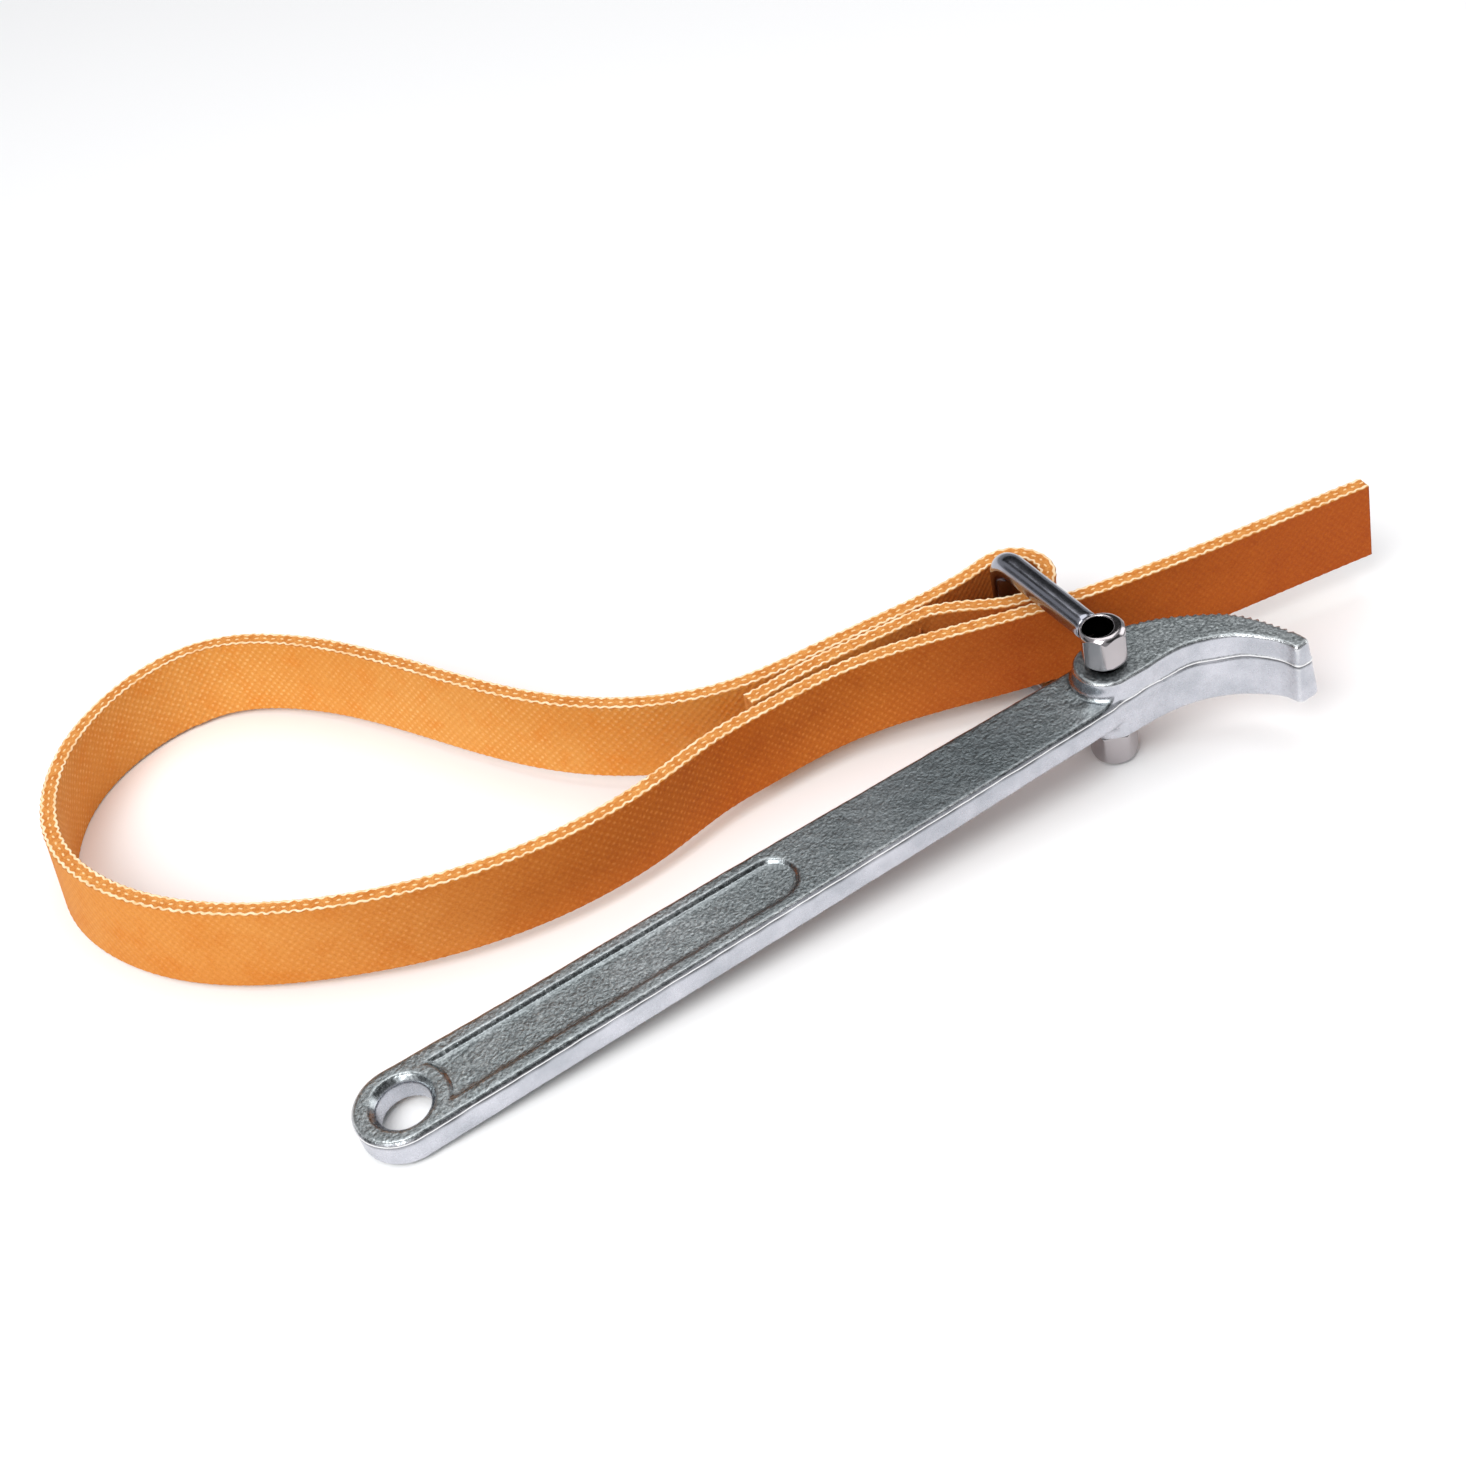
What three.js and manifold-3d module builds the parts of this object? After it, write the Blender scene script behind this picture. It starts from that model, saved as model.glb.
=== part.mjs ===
// Oil filter wrench with a flat fabric-reinforced belt.
//
// A forged handle ends in a toothed hook jaw. A pivot pin runs through the
// boss of the jaw and carries a U-shaped bail on two hexagonal eyes. One end
// of the belt is folded round the back bar of the bail and sewn to itself;
// the belt then makes a large loop, passes back through the bail next to the
// handle, and its free tail lies along the jaw.
//
// Units are millimetres, +Z is up. The wrench lies on its side: the lower
// rim of the lower hex eye and the end of the handle stand on z = 0, and so
// does the far side of the belt loop. The origin is under the middle of the
// whole wrench.

import * as THREE from 'three';
import { mergeVertices } from 'three/addons/utils/BufferGeometryUtils.js';
import Module from 'manifold-3d';

// ---------------------------------------------------------------- dimensions

// pose of the handle: its mid-plane leans down towards the hanging hole
const LEAN = THREE.MathUtils.degToRad(4.8735);
const PIN_CENTRE_Z = 24.8485;

// shank
const SHANK_T = 9.5;            // thickness
const HOLE_X = -224.5;          // hanging hole from the pivot
const SHANK_HALF_AT_JAW = 10.14;
const SHANK_HALF_SLOPE = 2.13 / 200;
const SHANK_END_R = 12.75;
const SHANK_END_AT = [HOLE_X - 0.8, 0.2];
const SHANK_EDGE = 1.3;
const HOLE_R = 7.3;
const HOLE_CHAMFER = 1.8;
const RECESS_DEPTH = 1.3;
const RECESS_HALF = 7.8;
const RECESS_NEAR_END = -105;   // rounded end nearest the jaw
const RECESS_HOLE_R = 12.3;      // other end, concentric with the hanging hole

// jaw and boss
const HEAD_HALF_T = 10.8;
const HEAD_EDGE = 1.0;
const BOSS_R = 9.5;
const FLARE_R = 3.0;
const TOOTH_PITCH = 2.2;
const TOOTH_DEPTH = 1.1;
const TIP_REACH = [2.6, -0.4];  // the tip reaches further at the lower face
// how far the inside of the hook is set back at the upper face, along x
const HOOK_SETBACK = [[8, 0], [14, 1.0], [20, 1.8], [27, 2.0], [32, 1.7], [36, 0.8], [39, 0]];

// pivot
const PIN_R = 4.0;
const PIN_HALF_L = 17.6;        // its ends lie deep inside the eyes
const PIN_CHAMFER = 0.5;
const PIVOT_BORE_R = 4.15;      // running fit in the handle
const EYE_BORE_R = 4.3;
const EYE_FLATS = 12.4;
const EYE_IN = 12.6;            // eye runs from here ...
const EYE_OUT = 24.4;           // ... to here, along the pin
const EYE_RIM_R = 6.2;
const EYE_CHAMFER = 1.2;
const EYE_MOUTH_R = 4.35;       // the open end of the eye, drilled off centre
const EYE_MOUTH_AT = [-0.9, 0.73];

// bail
const ROD_R = 3.95;
const ARM_H = 19.6;             // arm centre above and below the mid-plane
const BAR_Y = 47;               // back bar centre from the pivot
const BEND_R = 6;
const JOINT_GAP = 0.3;

// belt
const BELT_W = 27;
const BELT_T = 4.8;
// height of the belt's lower edge: z = BELT_Z + BELT_ZX x + BELT_ZY y
const BELT_Z = 9.971;
const BELT_ZX = 0.0296;
const BELT_ZY = -0.0133;
// centre line in plan, from the sewn-down cut end, round the back bar of the
// bail, round the big loop, back through the bail and out to the free tail
const BELT_LINE = [
  [-86.2, 52.6], [-78.18, 52.77], [-70.21, 53.24], [-62.12, 53.23], [-54.09, 52.82], [-46.13, 52.29],
  [-38.17, 51.76], [-30.21, 51.3], [-26.31, 50.74], [-22.71, 49.12], [-19.18, 47.26], [-15.78, 44.98],
  [-12.44, 42.55], [-9.06, 40.26], [-5.58, 38.37], [-1.9, 37.16], [2.02, 36.92], [5.92, 37.84],
  [9.25, 40.06], [11.57, 43.42], [12.55, 47.34], [12, 51.23], [10.14, 54.63], [7.27, 57.08],
  [3.72, 58.17], [-0.26, 58.01], [-8.54, 56.71], [-16.61, 56.16], [-24.52, 56.21], [-32.41, 56.56],
  [-40.31, 57.05], [-48.26, 57.59], [-56.26, 58.11], [-64.33, 58.55], [-72.41, 59.05], [-80.39, 59.97],
  [-88.15, 61.67], [-95.63, 64.29], [-102.77, 67.74], [-109.56, 71.93], [-115.97, 76.76], [-121.95, 82.14],
  [-127.48, 87.96], [-132.54, 94.14], [-137.2, 100.61], [-141.52, 107.32], [-145.59, 114.2], [-149.48, 121.21],
  [-153.27, 128.28], [-157.04, 135.37], [-160.85, 142.4], [-164.79, 149.34], [-168.95, 156.12], [-173.41, 162.71],
  [-178.28, 169.08], [-183.63, 175.16], [-189.52, 180.79], [-195.98, 185.53], [-203, 188.94], [-210.55, 190.6],
  [-218.45, 190.53], [-226.4, 188.98], [-234.13, 186.17], [-241.35, 182.33], [-247.83, 177.66], [-253.52, 172.23],
  [-258.43, 166.08], [-262.56, 159.26], [-265.84, 151.9], [-268.15, 144.16], [-269.38, 136.21], [-269.43, 128.24],
  [-268.33, 120.35], [-266.2, 112.65], [-263.19, 105.22], [-259.43, 98.15], [-255.05, 91.49], [-250.11, 85.26],
  [-244.68, 79.44], [-238.82, 74.02], [-232.59, 68.99], [-226.04, 64.33], [-219.24, 60.04], [-212.23, 56.12],
  [-205.04, 52.57], [-197.67, 49.42], [-190.17, 46.66], [-182.53, 44.32], [-174.79, 42.41], [-166.96, 40.94],
  [-159.06, 39.93], [-151.12, 39.39], [-143.15, 39.33], [-135.17, 39.76], [-127.21, 40.71], [-119.29, 42.17],
  [-111.39, 43.92], [-103.51, 45.44], [-95.62, 46.24], [-87.67, 46.55], [-79.65, 46.81], [-71.59, 46.95],
  [-63.57, 46.73], [-55.63, 45.93], [-47.81, 44.52], [-40.07, 42.63], [-32.4, 40.39], [-24.76, 37.95],
  [-17.13, 35.43], [-9.48, 32.97], [-1.8, 30.69], [5.93, 28.64], [13.7, 26.78], [21.51, 25.11],
  [29.35, 23.59], [37.21, 22.21], [45.1, 20.94], [53.01, 19.77], [60.94, 18.67], [68.87, 17.62],
  [76.81, 16.6], [84.75, 15.59], [92.69, 14.56], [100.62, 13.5], [104.9, 12.91],
];
const SEWN_CUT_X = -90;         // where the sewn end runs on into the loop
const TAIL_CUT_X = -12;         // where the loop runs on into the tail
const SEAM_X = [-30, -42, -54]; // rows of thread across the sewn end
const THREAD_W = 0.9;
const THREAD_T = 0.6;
const THREAD_L = 22;

// centre of the whole wrench in plan, measured from the pivot
const CENTRE_X = -83.3156;
const CENTRE_Y = 80.7345;

// ------------------------------------------------------------------- colours

const steelSatin = () => new THREE.MeshStandardMaterial({ color: 0x8f9492, metalness: 0.95, roughness: 0.48 });
const steelPolished = () => new THREE.MeshStandardMaterial({ color: 0xb9b8bb, metalness: 1.0, roughness: 0.2 });
const steelBar = () => new THREE.MeshStandardMaterial({ color: 0x9a999d, metalness: 1.0, roughness: 0.22 });
const steelDark = () => new THREE.MeshStandardMaterial({ color: 0x4a4a4e, metalness: 1.0, roughness: 0.35 });
const beltOrange = () => new THREE.MeshStandardMaterial({ color: 0xd9762f, metalness: 0, roughness: 0.75 });
const threadCream = () => new THREE.MeshStandardMaterial({ color: 0xf0d3a8, metalness: 0, roughness: 0.9 });

// ------------------------------------------------------------------- helpers

const wasm = await Module();
wasm.setup();

function toSolid(geometry) {
  const g = geometry.clone();
  for (const name of Object.keys(g.attributes)) if (name !== 'position') g.deleteAttribute(name);
  const merged = mergeVertices(g, 1e-4);
  return new wasm.Manifold(new wasm.Mesh({
    numProp: 3,
    vertProperties: new Float32Array(merged.attributes.position.array),
    triVerts: new Uint32Array(merged.index.array),
  }));
}

function toGeometry(solid) {
  const m = solid.getMesh();
  const g = new THREE.BufferGeometry();
  g.setAttribute('position', new THREE.BufferAttribute(new Float32Array(m.vertProperties), 3));
  g.setIndex(new THREE.BufferAttribute(new Uint32Array(m.triVerts), 1));
  g.computeVertexNormals();
  return g;
}

function mesh(name, geometry, material) {
  const m = new THREE.Mesh(geometry, material);
  m.name = name;
  return m;
}

// a closed outline as a Shape
function outline(points) {
  return new THREE.Shape(points.map(([x, y]) => new THREE.Vector2(x, y)));
}

// a plate centred on z = 0 with rounded edges, its widest outline as given
function plate(points, halfT, edge, segments = 3) {
  const g = new THREE.ExtrudeGeometry(outline(points), {
    depth: 2 * (halfT - edge),
    bevelEnabled: true,
    bevelThickness: edge,
    bevelSize: edge,
    bevelOffset: -edge,
    bevelSegments: segments,
    curveSegments: 1,
  });
  g.translate(0, 0, -(halfT - edge));
  return g;
}

function prism(points, z0, z1) {
  const g = new THREE.ExtrudeGeometry(outline(points), { depth: z1 - z0, bevelEnabled: false, curveSegments: 1 });
  g.translate(0, 0, z0);
  return g;
}

// a solid of revolution about Z; profile is [radius, z] from axis to axis
function turned(profile, segments = 48) {
  const g = new THREE.LatheGeometry(profile.map(([r, z]) => new THREE.Vector2(r, z)), segments);
  g.rotateX(Math.PI / 2);
  return g;
}

function arc(cx, cy, r, a0, a1, n) {
  const out = [];
  for (let i = 0; i <= n; i++) {
    const a = a0 + (a1 - a0) * i / n;
    out.push([cx + r * Math.cos(a), cy + r * Math.sin(a)]);
  }
  return out;
}

function smooth(points, n) {
  const c = new THREE.CatmullRomCurve3(points.map(([x, y]) => new THREE.Vector3(x, y, 0)), false, 'centripetal');
  return c.getSpacedPoints(n).map((p) => [p.x, p.y]);
}

// -------------------------------------------------------------------- handle

function shankHalf(x) {
  return SHANK_HALF_AT_JAW + SHANK_HALF_SLOPE * -x;
}

function shankOutline() {
  const top = [[4, 7.6], [0, 9.2], [-6, 10.0], [-14, shankHalf(-14)], [-60, shankHalf(-60)], [-120, shankHalf(-120)], [-180, shankHalf(-180)]];
  const end = arc(SHANK_END_AT[0], SHANK_END_AT[1], SHANK_END_R, Math.PI * 0.47, Math.PI * 1.53, 28);
  const bottom = top.map(([x, y]) => [x, -y]).reverse();
  return [...top, ...end, ...bottom];
}

// outside edge of the jaw, which carries the teeth, from the boss to the tip
const JAW_OUTER = smooth([
  [13.7, 8.3], [20.0, 5.7], [25.9, 1.9], [31.5, -2.2], [36.7, -7.1],
  [40.5, -13.2], [43.3, -20.5], [45.3, -27.5],
], 26);
// inside edge of the hook, from the tip back to the boss
const JAW_INNER = smooth([
  [40.4, -30.8], [40.1, -28.6], [39.2, -26.0], [36.9, -22.9], [32.2, -18.1], [26.2, -14.2],
  [18.9, -11.2], [10.4, -9.7], [3.0, -9.45],
], 20);

function headOutline() {
  const boss = arc(0, 0, BOSS_R, -Math.PI * 0.56, -Math.PI * 1.5, 26);
  return [
    ...boss, [5.0, 9.5], [10.0, 9.35], ...JAW_OUTER,
    [45.6, -29.8], [45.2, -30.9], [44.3, -31.4], [41.4, -31.7], [40.7, -31.5], ...JAW_INNER,
  ].reverse();
}

function ramp(v, a, b) {
  const t = Math.min(Math.max((v - a) / (b - a), 0), 1);
  return t * t * (3 - 2 * t);
}

function setback(x) {
  for (let i = 0; i + 1 < HOOK_SETBACK.length; i++) {
    const [xa, a] = HOOK_SETBACK[i], [xb, b] = HOOK_SETBACK[i + 1];
    if (x >= xa && x <= xb) return a + (b - a) * (x - xa) / (xb - xa);
  }
  return 0;
}

// the toothed edge is forged nearly square to the faces
function toothBand() {
  const n = JAW_OUTER.length;
  const inner = JAW_OUTER.map(([x, y], i) => {
    const [ax, ay] = JAW_OUTER[Math.max(i - 1, 0)], [bx, by] = JAW_OUTER[Math.min(i + 1, n - 1)];
    const l = Math.hypot(bx - ax, by - ay);
    return [x + (by - ay) / l * 2.4, y - (bx - ax) / l * 2.4];
  }).reverse();
  const k = HEAD_HALF_T - 0.15;
  return prism([...JAW_OUTER.slice(1, -1), ...inner.slice(1, -1)], -k, k);
}

// forging draft of the hook, seen as walls that are not square to its faces
function drafted(solid) {
  return solid.warp((v) => {
    const up = (1 + Math.min(Math.max(v[2] / HEAD_HALF_T, -1), 1)) / 2;
    const reach = (1 - up) * ramp(v[0], 38, 46);
    let near = Infinity, nx = 0, ny = 0;
    for (let i = 0; i + 1 < JAW_INNER.length; i++) {
      const [ax, ay] = JAW_INNER[i], [bx, by] = JAW_INNER[i + 1];
      const l = Math.hypot(bx - ax, by - ay);
      const tx = (bx - ax) / l, ty = (by - ay) / l;
      const u = Math.min(Math.max((v[0] - ax) * tx + (v[1] - ay) * ty, 0), l);
      const d = Math.hypot(v[0] - ax - tx * u, v[1] - ay - ty * u);
      if (d < near) { near = d; nx = ty; ny = -tx; }
    }
    const back = setback(v[0]) * up * (1 - ramp(near, 1.4, 2.6));
    v[0] += TIP_REACH[0] * reach + nx * back;
    v[1] += TIP_REACH[1] * reach + ny * back;
  });
}

// outline of the recess at a depth below the face; its walls slope at 45 degrees
function recessOutline(depth) {
  const half = RECESS_HALF - depth, r = RECESS_HOLE_R + depth;
  const a = Math.asin(half / r);
  const near = arc(RECESS_NEAR_END - RECESS_HALF, 0, half, -Math.PI / 2, Math.PI / 2, 18);
  const far = arc(HOLE_X, 0, r, a, -a, 10);
  return [...near, ...far];
}

function recessCutter() {
  const face = recessOutline(0), floor = recessOutline(RECESS_DEPTH);
  const g = new THREE.ExtrudeGeometry(outline(face), { depth: 2, steps: 2, bevelEnabled: false, curveSegments: 1 });
  const pos = g.attributes.position;
  for (let i = 0; i < pos.count; i++) {
    const x = pos.getX(i), y = pos.getY(i), z = pos.getZ(i);
    if (z > 0.5) { pos.setZ(i, z - 1); continue; }
    let k = 0, best = Infinity;
    face.forEach(([a, b], j) => { const d = Math.hypot(a - x, b - y); if (d < best) { best = d; k = j; } });
    pos.setXYZ(i, floor[k][0], floor[k][1], -RECESS_DEPTH);
  }
  return g;
}

// teeth: V grooves across the outer edge of the jaw, parallel to the pin
function toothGrooves() {
  const line = new THREE.CatmullRomCurve3(JAW_OUTER.map(([x, y]) => new THREE.Vector3(x, y, 0)), false, 'centripetal');
  const length = line.getLength();
  const first = 3.0;
  const count = Math.floor((length - first - 1.2) / TOOTH_PITCH);
  const out = [];
  for (let i = 0; i <= count; i++) {
    const u = (first + i * TOOTH_PITCH) / length;
    const p = line.getPointAt(u);
    const t = line.getTangentAt(u);
    const nx = -t.y, ny = t.x;             // outward: left of the direction of travel
    const w = TOOTH_PITCH * 0.42;
    const over = 0.6;
    const k = w * (TOOTH_DEPTH + over) / TOOTH_DEPTH;
    out.push(prism([
      [p.x - nx * TOOTH_DEPTH, p.y - ny * TOOTH_DEPTH],
      [p.x + nx * over + t.x * k, p.y + ny * over + t.y * k],
      [p.x + nx * over - t.x * k, p.y + ny * over - t.y * k],
    ], -HEAD_HALF_T - 1, HEAD_HALF_T + 1));
  }
  return out;
}

function handleGeometry() {
  const shank = toSolid(plate(shankOutline(), SHANK_T / 2, SHANK_EDGE));
  let head = toSolid(plate(headOutline(), HEAD_HALF_T, HEAD_EDGE, 3));
  head = head.add(toSolid(toothBand()));
  for (const groove of toothGrooves()) head = head.subtract(toSolid(groove));
  head = drafted(head);
  // fillet between the side of the boss and the faces of the shank
  const flareProfile = [[0, -9.2], [BOSS_R - 0.05, -9.2]];
  const z0 = SHANK_T / 2 - 0.02;
  for (let i = 0; i <= 6; i++) {
    const a = Math.PI / 2 * i / 6;
    flareProfile.push([BOSS_R + FLARE_R - FLARE_R * Math.cos(a), -(z0 + FLARE_R - FLARE_R * Math.sin(a))]);
  }
  for (let i = 6; i >= 0; i--) {
    const a = Math.PI / 2 * i / 6;
    flareProfile.push([BOSS_R + FLARE_R - FLARE_R * Math.cos(a), z0 + FLARE_R - FLARE_R * Math.sin(a)]);
  }
  flareProfile.push([BOSS_R - 0.05, 9.2], [0, 9.2]);
  const flare = toSolid(turned(flareProfile, 48)).intersect(
    toSolid(prism(shankOutline().map(([x, y]) => [x, y * 0.93]), -12, 12)));
  let body = shank.add(head).add(flare);

  body = body.subtract(toSolid(turned([[0, -14], [PIVOT_BORE_R, -14], [PIVOT_BORE_R, 14], [0, 14]], 48)));
  const z = SHANK_T / 2 - HOLE_CHAMFER;
  const hole = turned([[0, -z - 2.8], [HOLE_R + 2.8, -z - 2.8], [HOLE_R, -z], [HOLE_R, z], [HOLE_R + 2.8, z + 2.8], [0, z + 2.8]], 48);
  hole.translate(HOLE_X, 0, 0);
  body = body.subtract(toSolid(hole));

  const upper = recessCutter();
  upper.translate(0, 0, SHANK_T / 2);
  const lower = recessCutter();
  lower.rotateX(Math.PI);
  lower.translate(0, 0, -SHANK_T / 2);
  return toGeometry(body.subtract(toSolid(upper)).subtract(toSolid(lower)));
}

// --------------------------------------------------------------- pin and bail

function pinGeometry() {
  const h = PIN_HALF_L;
  return turned([
    [0, -h], [PIN_R - PIN_CHAMFER, -h], [PIN_R, -h + PIN_CHAMFER],
    [PIN_R, h - PIN_CHAMFER], [PIN_R - PIN_CHAMFER, h], [0, h],
  ], 48);
}

// turn: angle of the hexagon's first corner. Where a corner would face the bar
// it is milled off, so that the bar's end has a spot to be brazed to.
function eyeGeometry(turn) {
  const corner = EYE_FLATS / 2 / Math.cos(Math.PI / 6);
  let hex = toSolid(prism(arc(0, 0, corner, turn, turn + Math.PI * 2 * 5 / 6, 5), EYE_IN, EYE_OUT));
  if (turn !== 0) {
    const spot = new THREE.BoxGeometry(20, 4, 40);
    spot.translate(0, -EYE_FLATS / 2 - 2, (EYE_IN + EYE_OUT) / 2);
    hex = hex.subtract(toSolid(spot));
  }
  // chamfered rims at both ends
  const rims = toSolid(turned([
    [0, EYE_IN], [EYE_RIM_R, EYE_IN], [corner + 0.2, EYE_IN + EYE_CHAMFER],
    [corner + 0.2, EYE_OUT - EYE_CHAMFER], [EYE_RIM_R, EYE_OUT], [0, EYE_OUT],
  ], 60));
  const bore = toSolid(turned([
    [0, EYE_IN - 1], [EYE_BORE_R, EYE_IN - 1], [EYE_BORE_R, PIN_HALF_L + 0.5], [0, PIN_HALF_L + 0.5],
  ], 48));
  const mouth = turned([
    [0, PIN_HALF_L + 0.4], [EYE_MOUTH_R, PIN_HALF_L + 0.4], [EYE_MOUTH_R, EYE_OUT - 0.1],
    [EYE_MOUTH_R + 0.3, EYE_OUT + 0.2], [0, EYE_OUT + 0.2],
  ], 48);
  mouth.translate(EYE_MOUTH_AT[0], EYE_MOUTH_AT[1], 0);
  return toGeometry(hex.intersect(rims).subtract(bore).subtract(toSolid(mouth)));
}

// U-shaped round bar in the plane x = 0
function bailGeometry() {
  const path = new THREE.CurvePath();
  const y0 = EYE_FLATS / 2 + JOINT_GAP;
  const y1 = BAR_Y - BEND_R;
  const v = (y, z) => new THREE.Vector3(0, y, z);
  const points = [v(y0, ARM_H)];
  for (let i = 0; i <= 9; i++) {
    const a = Math.PI / 2 * i / 9;
    points.push(v(y1 + BEND_R * Math.sin(a), ARM_H - BEND_R + BEND_R * Math.cos(a)));
  }
  for (let i = 0; i <= 9; i++) {
    const a = Math.PI / 2 * i / 9;
    points.push(v(y1 + BEND_R * Math.cos(a), -ARM_H + BEND_R - BEND_R * Math.sin(a)));
  }
  points.push(v(y0, -ARM_H));
  for (let i = 0; i + 1 < points.length; i++) path.add(new THREE.LineCurve3(points[i], points[i + 1]));

  // the section is swept straight from one corner of that path to the next,
  // mitred at each corner, so the bar keeps its diameter round the bends
  const lengths = path.getCurveLengths();
  const total = lengths[lengths.length - 1];
  const n = 24;
  const ring = (i) => {
    const p = points[i];
    const a = points[Math.max(i - 1, 0)], b = points[Math.min(i + 1, points.length - 1)];
    const t0 = i > 0 ? p.clone().sub(a).normalize() : b.clone().sub(p).normalize();
    const t1 = i + 1 < points.length ? b.clone().sub(p).normalize() : t0.clone();
    const t = t0.clone().add(t1).normalize();
    const side = new THREE.Vector3(1, 0, 0);
    const out = new THREE.Vector3().crossVectors(t, side).normalize();
    const k = 1 / Math.max(0.5, t.dot(t0));
    const r = [];
    for (let j = 0; j < n; j++) {
      const w = Math.PI * 2 * j / n;
      r.push(p.clone().addScaledVector(side, ROD_R * Math.cos(w)).addScaledVector(out, ROD_R * k * Math.sin(w)));
    }
    return r;
  };
  return { path, total, points, ring, n };
}

function bailRodGeometry() {
  const { points, ring, n } = bailGeometry();
  const section = new THREE.Shape();
  section.absarc(0, 0, ROD_R, 0, Math.PI * 2, false);
  // straight extrusion with one step per path corner, then bent onto the path
  const g = new THREE.ExtrudeGeometry(section, { depth: 1, steps: points.length - 1, bevelEnabled: false, curveSegments: n });
  const rings = points.map((_, i) => ring(i));
  const pos = g.attributes.position;
  for (let i = 0; i < pos.count; i++) {
    const level = Math.round(pos.getZ(i) * (points.length - 1));
    let w = Math.atan2(pos.getY(i), pos.getX(i));
    const j = ((Math.round(w / (Math.PI * 2) * n) % n) + n) % n;
    const p = rings[level][j];
    pos.setXYZ(i, p.x, p.y, p.z);
  }
  return g;
}

// ---------------------------------------------------------------------- belt

const beltCurve = new THREE.CatmullRomCurve3(BELT_LINE.map(([x, y]) => new THREE.Vector3(x, y, 0)), false, 'centripetal');
beltCurve.arcLengthDivisions = 6000;
const beltLength = beltCurve.getLength();

// arc length at which the belt first passes a given x after a given arc length
function lengthAtX(x, from) {
  let before = beltCurve.getPointAt(from / beltLength).x;
  for (let s = from + 0.1; s <= beltLength; s += 0.1) {
    const now = beltCurve.getPointAt(Math.min(1, s / beltLength)).x;
    if ((before - x) * (now - x) <= 0) return s;
    before = now;
  }
  return beltLength;
}

// centre points between two arc lengths, closer together where the belt bends
function beltSamples(s0, s1) {
  const out = [];
  let s = s0;
  while (s < s1 - 1e-6) {
    out.push(s);
    const a = beltCurve.getTangentAt(Math.min(1, s / beltLength));
    const b = beltCurve.getTangentAt(Math.min(1, (s + 3) / beltLength));
    const bend = Math.acos(Math.min(1, a.dot(b))) / 3;
    s += THREE.MathUtils.clamp(0.16 / Math.max(bend, 1e-3), 1.8, 8);
  }
  if (s1 - out[out.length - 1] < 1.0) out.pop();
  out.push(s1);
  return out;
}

function beltGeometry(s0, s1) {
  const left = [], right = [];
  for (const s of beltSamples(s0, s1)) {
    const u = Math.min(1, s / beltLength);
    const p = beltCurve.getPointAt(u);
    const t = beltCurve.getTangentAt(u);
    left.push([p.x - t.y * BELT_T / 2, p.y + t.x * BELT_T / 2]);
    right.push([p.x + t.y * BELT_T / 2, p.y - t.x * BELT_T / 2]);
  }
  const g = new THREE.ExtrudeGeometry(outline([...right, ...left.reverse()]), { depth: BELT_W, bevelEnabled: false, curveSegments: 1 });
  g.applyMatrix4(new THREE.Matrix4().set(
    1, 0, 0, 0,
    0, 1, 0, 0,
    BELT_ZX, BELT_ZY, 1, BELT_Z,
    0, 0, 0, 1,
  ));
  return g;
}

// one row of thread lying across a face of the sewn end; side +1 is the face
// away from the handle, -1 the face towards it
function seamGeometry(x, side) {
  const sEye = 110;
  const s = side > 0 ? lengthAtX(x, sEye) : lengthAtX(x, 0);
  const u = s / beltLength;
  const p = beltCurve.getPointAt(u);
  const t = beltCurve.getTangentAt(u);
  // outward normal of the face: away from the other ply
  let nx = -t.y, ny = t.x;
  if (ny * side < 0) { nx = -nx; ny = -ny; }
  const d0 = BELT_T / 2 + JOINT_GAP;
  const shape = [];
  for (let i = 0; i <= 6; i++) {
    const a = Math.PI * i / 6;
    const along = (THREAD_W / 2) * Math.cos(a), out = d0 + THREAD_T * Math.sin(a);
    shape.push([p.x + t.x * along + nx * out, p.y + t.y * along + ny * out]);
  }
  if (THREE.ShapeUtils.area(shape.map(([a, b]) => new THREE.Vector2(a, b))) < 0) shape.reverse();
  const g = prism(shape, 0, THREAD_L);
  g.translate(0, 0, BELT_Z + BELT_ZX * p.x + BELT_ZY * p.y + (BELT_W - THREAD_L) / 2);
  return g;
}


// ------------------------------------------------------------------ assembly

const group = new THREE.Group();
group.position.set(-CENTRE_X, -CENTRE_Y, 0);

const leaning = new THREE.Group();
leaning.position.z = PIN_CENTRE_Z;
leaning.rotation.y = -LEAN;
group.add(leaning);

leaning.add(mesh('handle_forging', handleGeometry(), steelSatin()));
leaning.add(mesh('pivot_pin', pinGeometry(), steelDark()));
leaning.add(mesh('bail_rod', bailRodGeometry(), steelBar()));
leaning.add(mesh('bail_eye_upper', eyeGeometry(0), steelPolished()));
const lowerEye = mesh('bail_eye_lower', eyeGeometry(Math.PI / 6), steelPolished());
lowerEye.rotation.x = Math.PI;
leaning.add(lowerEye);

const sewnEnd = lengthAtX(SEWN_CUT_X, 120);
const tailStart = lengthAtX(TAIL_CUT_X, beltLength * 0.6);
group.add(mesh('strap_sewn_end', beltGeometry(0, sewnEnd - JOINT_GAP / 2), beltOrange()));
group.add(mesh('strap_loop', beltGeometry(sewnEnd + JOINT_GAP / 2, tailStart - JOINT_GAP / 2), beltOrange()));
group.add(mesh('strap_tail', beltGeometry(tailStart + JOINT_GAP / 2, beltLength), beltOrange()));
SEAM_X.forEach((x, i) => {
  group.add(mesh(`seam_row_${i + 1}_outer`, seamGeometry(x, 1), threadCream()));
  group.add(mesh(`seam_row_${i + 1}_inner`, seamGeometry(x, -1), threadCream()));
});

export default group;
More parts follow.
